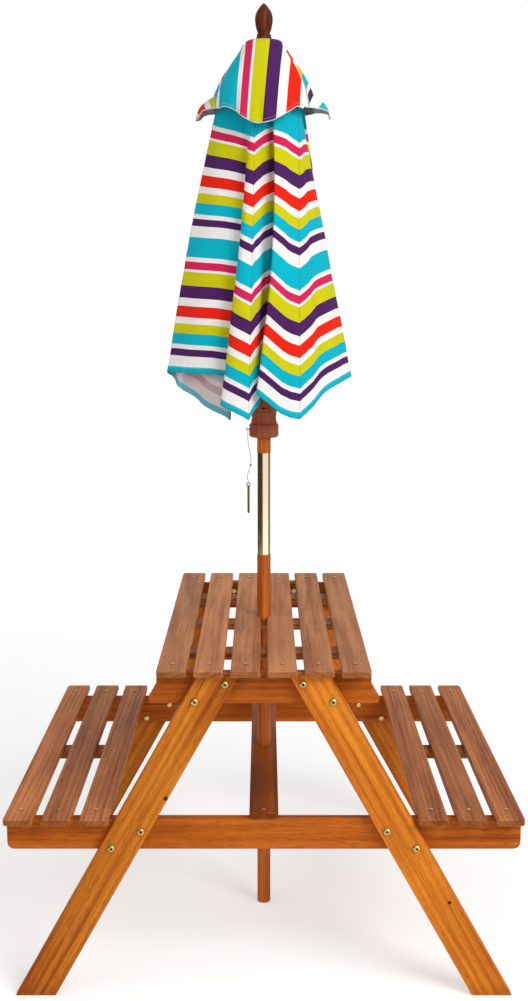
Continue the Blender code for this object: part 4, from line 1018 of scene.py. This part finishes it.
def cap_surface():
    """The cap. Its two parameters are the share of the way down its profile and the azimuth, a.
    High powers of the cosine of 2a let the left and right corners stand out as ears and the
    front and back ones hang lower. A bell curve round the creases, where the sine of a is near
    the crease's, lifts them. In the flat, a point lies at its own X between the creases, and
    beyond them at its distance from the top along the cloth, so that the stripes run down the
    front and across the sides. Its Y goes over to that distance with the cube of the cosine of
    a, from its own at the sides."""
    azimuth = angles(CAP_COLUMNS)
    ring = np.stack([np.sin(azimuth), -np.cos(azimuth)], axis=-1)
    sideways = np.abs(ring[:, 0]) > math.sqrt(0.5)
    sharp = np.abs(np.cos(2 * (azimuth + CAP_TURN)))
    front = sharp ** np.where(ring[:, 0] > 0, CAP_RIGHT_POWER, CAP_LEFT_POWER) * ~sideways
    ruffle = sum(high * np.sin(waves * azimuth + start) for high, waves, start in CAP_RUFFLES)
    share = np.linspace(0, 1, CAP_ROWS)[:, None]
    profile, _ = smooth_open(CAP_PROFILE, CAP_ROWS)
    drop, radius = profile[:, :1], profile[:, 1:]
    aside = np.abs(np.sin(azimuth + CAP_CREASE_TURN))
    crease = np.exp(-(((aside - CAP_CREASE) / CAP_CREASE_REACH) ** 2))
    ear = sharp**CAP_EAR_POWER * sideways * ramp(share, CAP_EAR_SHARE, 1)
    radius = radius * (1 + ruffle * ramp(share, CAP_RUFFLE_SHARE, 1) ** 1.5)
    radius = radius + CAP_CREASE_LIFT * crease * np.sin(math.pi * share)
    radius = radius + CAP_EAR * np.sin(ear * math.pi / 2)
    drop = drop * (1 + CAP_CORNER_DROP_SHARE * front * share**2)
    drop = drop + CAP_EAR_DROP * ear**2 - CAP_EAR_ARCH * np.sin(math.pi * ear)
    height = CAP_TOP - CLOTH_THICKNESS / 2 - drop
    grid = np.concatenate([radius[..., None] * ring, height[..., None]], axis=2)
    lengths = path_lengths(grid)
    beyond = ramp(aside, CAP_CREASE - CAP_CREASE_BLUR, CAP_CREASE + CAP_CREASE_BLUR)
    weight = np.stack([beyond, np.abs(ring[:, 1]) ** 3], axis=-1)
    away = (lengths + RING_RADIUS - radius)[..., None]
    cut = (radius[..., None] + away * weight) * ring
    return grid, cut, pairs(azimuth, lengths[-1] - lengths)


def screw_head(radius):
    """A low dome with a slot. A square grid is drawn to a disc: x is a times the root of 1 less
    half of b squared, and y the same with a and b changed over. The dome falls with the square
    of the radius and closes at the rim, and the slot lies where a is small. The flat underside
    is the same grid, gone back over, at no height."""
    slot = SCREW_SLOT_SHARE
    half = np.array((slot - SCREW_WALL_SHARE, slot, *SCREW_GRID))
    a = np.concatenate([-half[::-1], half])
    b = np.concatenate([-half[::-1], [0.0], half])
    across, along = np.meshgrid(a, b, indexing="ij")
    x, y = across * np.sqrt(1 - along**2 / 2), along * np.sqrt(1 - across**2 / 2)
    reach = np.clip(x**2 + y**2, 0, 1)
    dome = SCREW_HEIGHT * (1 - SCREW_FALL_SHARE * reach) * np.sqrt(1 - reach**6)
    cut = (np.abs(across) < slot - SCREW_WALL_SHARE / 2) & (reach < SCREW_RIM)
    z = np.where(cut, np.minimum(dome, SCREW_HEIGHT * SCREW_FLOOR_SHARE), dome)
    upper = np.stack([x * radius, y * radius, z], axis=-1)
    uv = pairs(np.sqrt(np.concatenate([reach, reach[::-1]])), np.concatenate([cut, cut * 0]))
    return np.concatenate([upper, upper[::-1] * (1, 1, 0)]), uv


def bolt_head(radius):
    """A dome of revolution with a six sided socket. Rows inside the socket take the hexagon's
    radius, which is its inner radius over the cosine of the angle from the middle of a side."""
    angle = angles(BOLT_COLUMNS)
    hexagon = math.cos(math.pi / 6) / np.cos(np.mod(angle, math.pi / 3) - math.pi / 6)
    socket = radius * BOLT_SOCKET_SHARE
    floor, dome = BOLT_HEIGHT - BOLT_SOCKET_DEPTH, BOLT_HEIGHT - BOLT_RIM
    rows = [(0.0, floor, 0), (0.5 * socket, floor, 1), (0.96 * socket, floor, 1),
            (socket, BOLT_HEIGHT - BOLT_SOCKET_BEVEL, 1), (1.12 * socket, BOLT_HEIGHT, 0.4)]
    rows += [(radius * share, BOLT_RIM + dome * math.sqrt(1 - share**2.6), 0)
             for share in np.linspace(0.52, 1.0, 9)]
    rows += [(radius, 0.0, 0), (0.0, 0.0, 0)]
    reach, height, six = (np.array(line)[:, None] for line in zip(*rows))
    share = reach / radius
    share[-2:] = 1
    return spun(reach * (1 - six + six * hexagon), height, angle), pairs(share, 0 * angle)


def thicken(obj, thickness, edge_thickness, edge):
    """Gives a cloth its wall, thicker along the bound edge, with the inside's own material."""
    group = obj.vertex_groups.new(name="bound edge")
    group.add(np.flatnonzero(edge).tolist(), 1.0, "REPLACE")
    wall = obj.modifiers.new("wall", "SOLIDIFY")
    wall.thickness = edge_thickness
    wall.offset = 0
    wall.vertex_group = group.name
    wall.thickness_vertex_group = thickness / edge_thickness
    wall.material_offset = 1
    wall.use_quality_normals = True


def dress(node, material):
    """Gives a node of the frame its finish. Its curved walls are shaded evenly and its sharp
    edges kept, and its mesh stays as it is."""
    obj = NODES[node]
    obj.data.materials.clear()
    obj.data.materials.append(material)
    obj.data.shade_smooth()
    join = obj.modifiers.new("joined corners", "WELD")
    join.merge_threshold = CORNER_REACH
    split = obj.modifiers.new("sharp edges", "EDGE_SPLIT")
    split.split_angle = SHARP_ANGLE
    split.use_edge_angle = True


def swatch(name, description, *colour):
    """A colour to choose, with its default as a screen shows it, from 0 to 255."""
    return FloatVectorProperty(
        name=name, description=description, subtype="COLOR", default=paint(*colour))


class ClothSettings(PropertyGroup):
    """The cloth's and the cord's colours, and the cloth's fineness."""

    teal: swatch("Teal", "Colour of the teal stripes and the hem's binding", 0, 176, 196)
    white: swatch("White", "Colour of the white stripes", 240, 236, 233)
    magenta: swatch("Magenta", "Colour of the magenta stripe", 212, 34, 88)
    lime: swatch("Lime", "Colour of the lime stripes", 204, 198, 10)
    purple: swatch("Purple", "Colour of the purple stripes", 76, 30, 92)
    red: swatch("Red", "Colour of the red stripe", 232, 34, 14)
    inside: swatch("Inside", "Colour that the stripes fade to on the cloth's inside", 226, 196, 198)
    cord_light: swatch("Cord, light", "Colour of the pin's cord", 122, 114, 102)
    # This dark colour is painted shade between the strands, and also the strands' own darker fibre
    cord_dark: swatch("Cord, dark", "Colour between the cord's strands", 48, 42, 36)
    columns: IntProperty(
        name="Columns", description="Points round the canopy", default=448, min=64)
    wrinkle: FloatProperty(
        name="Wrinkle", description="Height of the cloth's small wrinkles",
        default=0.0009, unit="LENGTH")

    def sides(self, kind):
        """The materials of the cloth's outside and inside."""
        colours = {name: tuple(getattr(self, name)) for name, _ in STRIPES}
        inside = tuple(self.inside)
        return (cloth(f"{kind} stripes", colours, kind),
                cloth(f"{kind} inside", colours, kind, inside))


class WoodSettings(PropertyGroup):
    """The woods' light and dark colours."""

    top_light: swatch("Table top, light", "Light colour of the table's boards", 192, 124, 73)
    top_dark: swatch("Table top, dark", "Dark colour of the table's boards", 132, 70, 31)
    bench_light: swatch("Bench, light", "Light colour of the benches' boards", 186, 114, 61)
    bench_dark: swatch("Bench, dark", "Dark colour of the benches' boards", 124, 62, 28)
    leg_light: swatch("Leg, light", "Light colour of the legs", 224, 134, 36)
    leg_dark: swatch("Leg, dark", "Dark colour of the legs' streaks", 160, 74, 10)
    rail_light: swatch("Rail, light", "Light colour of the rails", 204, 106, 28)
    rail_dark: swatch("Rail, dark", "Dark colour of the rails", 140, 60, 10)
    pole_light: swatch("Pole, light", "Light colour of the pole, ribs and struts", 206, 114, 46)
    pole_dark: swatch("Pole, dark", "Dark colour of the pole, ribs and struts", 142, 64, 18)
    turned_light: swatch(
        "Turned pieces, light", "Light colour of the finial, hub and runner", 150, 74, 40)
    turned_dark: swatch(
        "Turned pieces, dark", "Dark colour of the finial, hub and runner", 86, 34, 18)
    joint: swatch("Jointed board", "Colour of its nearer length of wood", 186, 122, 74)

    def pair(self, kind):
        """A wood's light and dark colours."""
        return [tuple(getattr(self, f"{kind}_{shade}")) for shade in ("light", "dark")]


class MetalSettings(PropertyGroup):
    """The metals' colours and the sizes of the screws' heads."""

    zinc: swatch("Yellow zinc", "Colour of the screws and bolts", 205, 180, 118)
    brass: swatch("Sleeve", "Colour of the pole's sleeve", 238, 218, 180)
    bronze: swatch("Pin", "Colour of the locking pin", 108, 86, 62)
    dull: swatch("Dull patches", "Colour where the plating is dull", 104, 86, 58)
    # This dark colour is painted shade inside slots and sockets and round the screws' rims
    dark: swatch("Sockets", "Colour inside slots and sockets", 34, 28, 22)
    screw_radius: FloatProperty(
        name="Screw head", description="Radius of a screw's head",
        default=SCREW_RADIUS, unit="LENGTH")
    bolt_radius: FloatProperty(
        name="Bolt head", description="Radius of a bolt's head",
        default=BOLT_RADIUS, unit="LENGTH")


class StageSettings(PropertyGroup):
    """The camera and the light."""

    lens: FloatProperty(
        name="Lens", description="Focal length of the camera, in millimetres",
        default=48.255, unit="CAMERA")
    distance: FloatProperty(
        name="Distance", description="How far the camera stands in front of the pole",
        default=2.5856, unit="LENGTH")
    height: FloatProperty(
        name="Height", description="Height of the camera above the floor",
        default=1.241, unit="LENGTH")
    tilt: FloatProperty(
        name="Tilt", description="How far the camera looks down",
        default=0.158, subtype="ANGLE")
    sky: FloatProperty(
        name="Sky", description="Strength of the even light from all sides", default=0.50)
    key: FloatProperty(
        name="Key lamp", description="Power of the large lamp, in watts", default=120.0)
    fill: FloatProperty(
        name="Fill lamp", description="Power of the lamp on the other side, in watts",
        default=27.0)


class PICNIC_OT_camera(Operator):
    """Place the camera where the table is seen from its front"""

    bl_idname = "picnic.camera"
    bl_label = "Camera"

    def execute(self, context):
        settings = context.scene.picnic_stage
        data = bpy.data.cameras.new("camera")
        data.sensor_width = FILM_WIDTH
        data.lens = settings.lens
        camera = bpy.data.objects.new("camera", data)
        camera.location = (CAMERA_ASIDE, -settings.distance, settings.height)
        camera.rotation_euler = (math.pi / 2 - settings.tilt, 0, 0)
        context.scene.collection.objects.link(camera)
        context.scene.camera = camera
        return {"FINISHED"}


class PICNIC_OT_pin_cord(Operator):
    """Make the thin twisted cord that holds the locking pin, with its knot"""

    bl_idname = "picnic.pin_cord"
    bl_label = "Pin cord"

    def execute(self, context):
        path, length = smooth_open(CORD_ROUTE, CORD_ROWS)
        angle = angles(CORD_SIDES)
        along = np.linspace(0, length, CORD_ROWS)
        rows = np.concatenate([[0], along, [length]])[:, None]
        settings = context.scene.picnic_cloth
        fibre = cord_fibre(
            "twisted cord", tuple(settings.cord_light), tuple(settings.cord_dark))
        cord = make_mesh(
            "pin_cord_twisted", twisted_cord(path, along, angle),
            uvs={"twist": pairs(angle / TURN, rows)}, material=fibre)
        wrap_uv(cord, "twist", 1.0)
        turn = angles(KNOT_ROWS)
        tie = make_mesh(
            "pin_cord_knot", cord_knot(turn, angle), closed=(True, True),
            uvs={"twist": pairs(angle / TURN, turn[:, None] * KNOT_PLY_LENGTH)}, material=fibre)
        for obj in (cord, tie):
            outwards(obj)
            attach(obj, "lock_pin")
        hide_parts("pin_cord")
        return {"FINISHED"}


class PICNIC_OT_canopy(Operator):
    """Make the closed canopy as one sheet of striped cloth with its folds and bound hem"""

    bl_idname = "picnic.canopy"
    bl_label = "Canopy"

    def execute(self, context):
        settings = context.scene.picnic_cloth
        grid, cut, edges = canopy_surface(settings.columns, settings.wrinkle)
        outside, inside = settings.sides("canopy")
        canopy = make_mesh("canopy_cloth", grid, flip=True, uvs={"cut": cut, "edges": edges},
                           material=outside)
        canopy.data.materials.append(inside)
        hem = np.zeros(len(canopy.data.vertices), bool)
        hem[-len(BINDING_STEP_SHARES) * settings.columns:] = True
        thicken(canopy, CLOTH_THICKNESS, BINDING_THICKNESS, hem)
        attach(canopy, "upper_pole")
        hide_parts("canopy")
        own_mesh(canopy)
        return {"FINISHED"}


class PICNIC_OT_canopy_cap(Operator):
    """Make the square cap over the canopy's top, whose corners stand out as ears"""

    bl_idname = "picnic.canopy_cap"
    bl_label = "Canopy cap"

    def execute(self, context):
        grid, cut, edges = cap_surface()
        outside, inside = context.scene.picnic_cloth.sides("cap")
        cap = make_mesh("cap_cloth", grid, uvs={"cut": cut, "edges": edges}, material=outside)
        cap.data.materials.append(inside)
        hem = np.zeros(len(cap.data.vertices), bool)
        hem[-CAP_HEM_ROWS * CAP_COLUMNS:] = True
        thicken(cap, CLOTH_THICKNESS, CAP_HEM_THICKNESS, hem)
        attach(cap, "upper_pole")
        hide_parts("canopy_cap")
        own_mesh(cap)
        return {"FINISHED"}


class PICNIC_OT_boards(Operator):
    """Finish the boards of the table and benches, the battens, rails, cleats and stretcher"""

    bl_idname = "picnic.boards"
    bl_label = "Boards and rails"

    def execute(self, context):
        woods = context.scene.picnic_wood
        top, bench, rail = woods.pair("top"), woods.pair("bench"), woods.pair("rail")
        for index, tone in enumerate(TOP_TONES):
            joint = (SLAT_JOINT, tuple(woods.joint)) if index == JOINTED_SLAT else None
            dress(f"top_slat_{index + 1}", wood(
                f"table board {index + 1}", "Y", *top, seed=index, tone=tone, joint=joint))
        for index in range(3):
            dress(f"top_batten_{index + 1}", wood(
                f"table batten {index + 1}", "X", *top, seed=index + 7, tone=1.1))
        for place, (side, tones) in enumerate(BENCH_TONES.items()):
            for index, tone in enumerate(tones):
                dress(f"bench_{side}_slat_{index + 1}", wood(
                    f"{side} bench board {index + 1}", "Y", *bench,
                    seed=index + 11 + 5 * place, tone=tone))
            dress(f"bench_batten_{side}", wood(
                f"{side} bench batten", "X", *bench, seed=21 + place, tone=0.85))
        plain = {"streaks": 0.22, "growth_width": RAIL_GROWTH}
        for index, (end, tone) in enumerate(CLEAT_TONES_AND_SHADE.items()):
            dress(f"seat_rail_{end}", wood(f"{end} rail", "X", *rail, seed=24 + index, **plain))
            # The rear cleat's low tone is painted shade
            dress(f"table_cleat_{end}", wood(
                f"{end} cleat", "X", *rail, seed=27 + index, tone=tone, **plain))
        dress("stretcher", wood("stretcher", "Y", *rail, seed=30, tone=0.62))
        return {"FINISHED"}


class PICNIC_OT_legs(Operator):
    """Finish the four legs and the fastenings in them"""

    bl_idname = "picnic.legs"
    bl_label = "Legs"

    def execute(self, context):
        leg = context.scene.picnic_wood.pair("leg")
        zinc = tuple(context.scene.picnic_metal.zinc)
        for index, (name, knot) in enumerate(LEG_KNOTS.items()):
            side = 1 if name.endswith("right") else -1
            dress(f"leg_{name}", leg_wood(
                f"{name.replace('_', ' ')} leg", side, *leg, zinc, 31 + index, LEG_TONES[name],
                knot))
        return {"FINISHED"}


class PICNIC_OT_pole(Operator):
    """Finish the pole, ribs, struts, hub and runner, and make the turned finial"""

    bl_idname = "picnic.pole"
    bl_label = "Pole and turned pieces"

    def execute(self, context):
        woods = context.scene.picnic_wood
        pole, turned = woods.pair("pole"), woods.pair("turned")
        for part, seed, tone in (("lower", 36, 1.1), ("upper", 37, 1.25)):
            dress(f"pole_{part}", wood(
                f"{part} pole", "Z", *pole, seed=seed, tone=tone, streaks=0.15, gloss=0.6))
        dress("top_hub", wood("hub", "Z", *turned, seed=38, gloss=0.6))
        zinc = tuple(context.scene.picnic_metal.zinc)
        dress("runner", runner_wood("runner", *turned, zinc))
        for place in range(1, RIB_COUNT + 1):
            dress(f"rib_{place}", wood(f"rib {place}", "Z", *pole, seed=40 + place, tone=0.85))
            dress(f"strut_{place}", wood(
                f"strut {place}", "Z", *pole, seed=50 + place, tone=0.80))
        profile, _ = smooth_open(FINIAL_PROFILE, FINIAL_ROWS)
        profile[:, 0] = np.maximum(profile[:, 0], 0)
        profile[-1] = (0, FINIAL_TIP - FINIAL_FOOT)
        radius, height = np.vstack([FINIAL_SOCKET, profile]).T[..., None]
        finial = make_mesh(
            "finial_turned", spun(radius, height + FINIAL_FOOT, angles(FINIAL_COLUMNS)),
            material=wood("finial", "Z", *turned, seed=39, tone=0.62, gloss=0.62))
        outwards(finial)
        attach(finial, "upper_pole")
        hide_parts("finial")
        return {"FINISHED"}


class PICNIC_OT_metal(Operator):
    """Finish the pole's sleeve and the locking pin"""

    bl_idname = "picnic.metal"
    bl_label = "Sleeve and pin"

    def execute(self, context):
        metals = context.scene.picnic_metal
        dull = tuple(metals.dull)
        dress("pole_sleeve", metal("sleeve", tuple(metals.brass), 0.10, dull, spots=0.06,
                                   along=(1.6, 1.6, 0.15), scratch=0.04))
        dress("lock_pin", metal("locking pin", tuple(metals.bronze), 0.34, dull, spots=0.6))
        return {"FINISHED"}


class PICNIC_OT_screws(Operator):
    """Make the slotted screw heads at the ends of the boards and on the stretcher"""

    bl_idname = "picnic.screws"
    bl_label = "Screws"

    def execute(self, context):
        metals = context.scene.picnic_metal
        places = []
        for index in range(1, 7):
            low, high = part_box(f"top_slat_{index}")
            places.append(((low.x + high.x) / 2, TABLE_HEIGHT))
        for side in ("left", "right"):
            for index in range(1, 4):
                low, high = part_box(f"bench_{side}_slat_{index}")
                places.append(((low.x + high.x) / 2, BENCH_HEIGHT))
        places.append((0.0, STRETCHER_TOP))
        spots = np.array([(x, y, z) for x, z in places for y in (-SCREW_LINE, SCREW_LINE)])
        head, uv = screw_head(metals.screw_radius)
        turns = SCREW_FIRST_TURN + SCREW_TURN_STEP * np.arange(len(spots))
        cosine, sine = np.cos(turns), np.sin(turns)
        spin = np.zeros((len(spots), 3, 3))
        spin[:, 0, 0], spin[:, 0, 1], spin[:, 1, 0], spin[:, 1, 1] = cosine, sine, -sine, cosine
        spin[:, 2, 2] = 1
        grids = np.einsum("ijk,nkl->nijl", head, spin) + spots[:, None, None]
        screws = make_mesh("slat_screws", grids, closed=(False, False), uvs={"head": uv},
                           material=head_metal("screw heads", metals))
        outwards(screws)
        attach(screws, "table")
        return {"FINISHED"}


class PICNIC_OT_bolts(Operator):
    """Make the domed bolt heads with their sockets on the legs' outer faces"""

    bl_idname = "picnic.bolts"
    bl_label = "Bolt heads"

    def execute(self, context):
        metals = context.scene.picnic_metal
        head, uv = bolt_head(metals.bolt_radius)
        upright = head[..., [0, 2, 1]]
        grids = np.stack([
            upright * (-end, end, 1) + (side * x, end * BOLT_FACE, z)
            for end in (-1, 1) for side in (-1, 1) for x, z in BOLT_PLACES
        ])
        bolts = make_mesh("bolt_heads", grids, uvs={"head": uv},
                          material=head_metal("bolt heads", metals, BOLT_SOCKET_SHARE))
        outwards(bolts)
        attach(bolts, "table")
        return {"FINISHED"}


def pale_floor():
    """A wide plain floor, which takes the shadow and glows a little more where it is far."""
    corners = np.array([[(x, y, 0.0) for x in (-1, 1)] for y in (-1, 1)]) * FLOOR_REACH
    floor = make_mesh("floor", corners, closed=(False, False), flip=True)
    shader = Shader("pale floor", {"Roughness": 0.9, "Specular IOR Level": 0.0})
    speckle = shader.noise(shader.place(), 3.0)
    shader.finish(shader.mix(speckle * 0.06, *FLOOR_SHADES))
    away = shader.node("ShaderNodeVectorMath", {"operation": "LENGTH"}, {0: shader.place()}, "Value")
    share = GLOW_NEAR / GLOW_FAR + away.rise(*GLOW_SPAN) * (1 - GLOW_NEAR / GLOW_FAR)
    glow = shader.node(
        "ShaderNodeEmission", inputs={"Color": (1.0, 1.0, 1.0), "Strength": GLOW_FAR})
    lit = Value(shader, shader.surface.outputs[0])
    both = shader.node("ShaderNodeAddShader", inputs={0: lit, 1: glow})
    final = shader.node(
        "ShaderNodeMixShader", inputs={0: shader.plainly_seen() * share, 1: lit, 2: both})
    shader.put(shader.tree.nodes["Material Output"].inputs["Surface"], final)
    floor.data.materials.append(shader.owner)
    return floor


def dark_walls():
    """Dark walls that only reflections see, so that metal has its dark sides."""
    angle = np.radians([np.linspace(*span, WALL_COLUMNS) for span in WALL_SPANS])[:, None]
    height = np.array([0.0, WALL_HEIGHT])[:, None]
    walls = make_mesh("dark walls", spun(WALL_REACH, height, angle - math.pi / 2),
                      closed=(False, False), flip=True)
    shader = Shader("dark wall", {"Roughness": 0.9, "Specular IOR Level": 0.0})
    cloudy = shader.noise(shader.place(), 0.8)
    brown = shader.mix(cloudy, *WALL_BROWNS)
    right = shader.parts(shader.place())[0].rise(0.0, 1.0)
    walls.data.materials.append(shader.finish(shader.mix(right, brown, RIGHT_WALL)))
    for kind in ("camera", "diffuse", "transmission", "volume_scatter", "shadow"):
        setattr(walls, f"visible_{kind}", False)
    return walls


def soft_sky(strength):
    """Even light from all sides, which looks white where it is seen itself."""
    white = (1.0, 1.0, 1.0)
    shader = Shader(
        "soft sky", {"Color": white, "Strength": strength}, "worlds", "Background")
    lit = Value(shader, shader.surface.outputs[0])
    back = shader.node("ShaderNodeBackground", inputs={"Color": white, "Strength": 1.0})
    final = shader.node("ShaderNodeMixShader", inputs={0: shader.plainly_seen(), 1: lit, 2: back})
    shader.put(shader.tree.nodes["World Output"].inputs["Surface"], final)
    return shader.owner


class PICNIC_OT_stage(Operator):
    """Lay the pale floor and hang the soft lamps"""

    bl_idname = "picnic.stage"
    bl_label = "Stage"

    def execute(self, context):
        scene, settings = context.scene, context.scene.picnic_stage
        floor, flags = pale_floor(), dark_walls()
        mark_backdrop(floor, flags)
        scene.world = soft_sky(settings.sky)
        for name, (size, place) in LAMPS.items():
            data = bpy.data.lights.new(f"{name} lamp", "AREA")
            data.energy, data.size = getattr(settings, name), size
            lamp = bpy.data.objects.new(f"{name} lamp", data)
            lamp.location = place
            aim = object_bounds()[0].lerp(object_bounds()[1], 0.5) - lamp.location
            lamp.rotation_euler = aim.to_track_quat("-Z", "Y").to_euler()
            scene.collection.objects.link(lamp)
        scene.view_settings.view_transform = "Standard"
        return {"FINISHED"}


OPERATORS = (
    PICNIC_OT_camera, PICNIC_OT_pin_cord, PICNIC_OT_canopy, PICNIC_OT_canopy_cap,
    PICNIC_OT_boards, PICNIC_OT_legs, PICNIC_OT_pole, PICNIC_OT_metal, PICNIC_OT_screws,
    PICNIC_OT_bolts, PICNIC_OT_stage,
)
SETTINGS = {
    "picnic_cloth": ClothSettings,
    "picnic_wood": WoodSettings,
    "picnic_metal": MetalSettings,
    "picnic_stage": StageSettings,
}


class PICNIC_PT_panel(Panel):
    """The pieces of the picnic table, in the order in which they are made"""

    bl_idname = "PICNIC_PT_panel"
    bl_label = "Picnic table"
    bl_space_type = "VIEW_3D"
    bl_region_type = "UI"
    bl_category = "Picnic table"

    def draw(self, context):
        for name, group in SETTINGS.items():
            box = self.layout.box()
            for field in group.__annotations__:
                box.prop(getattr(context.scene, name), field)
        for operator in OPERATORS:
            self.layout.operator(operator.bl_idname)


def register():
    for name, group in SETTINGS.items():
        bpy.utils.register_class(group)
        setattr(bpy.types.Scene, name, PointerProperty(type=group))
    for part in (*OPERATORS, PICNIC_PT_panel):
        bpy.utils.register_class(part)


def unregister():
    for part in (PICNIC_PT_panel, *reversed(OPERATORS)):
        bpy.utils.unregister_class(part)
    for name, group in SETTINGS.items():
        delattr(bpy.types.Scene, name)
        bpy.utils.unregister_class(group)


def main():
    register()
    for operator in OPERATORS:
        group, name = operator.bl_idname.split(".")
        getattr(getattr(bpy.ops, group), name)()


if __name__ == "__main__":
    main()
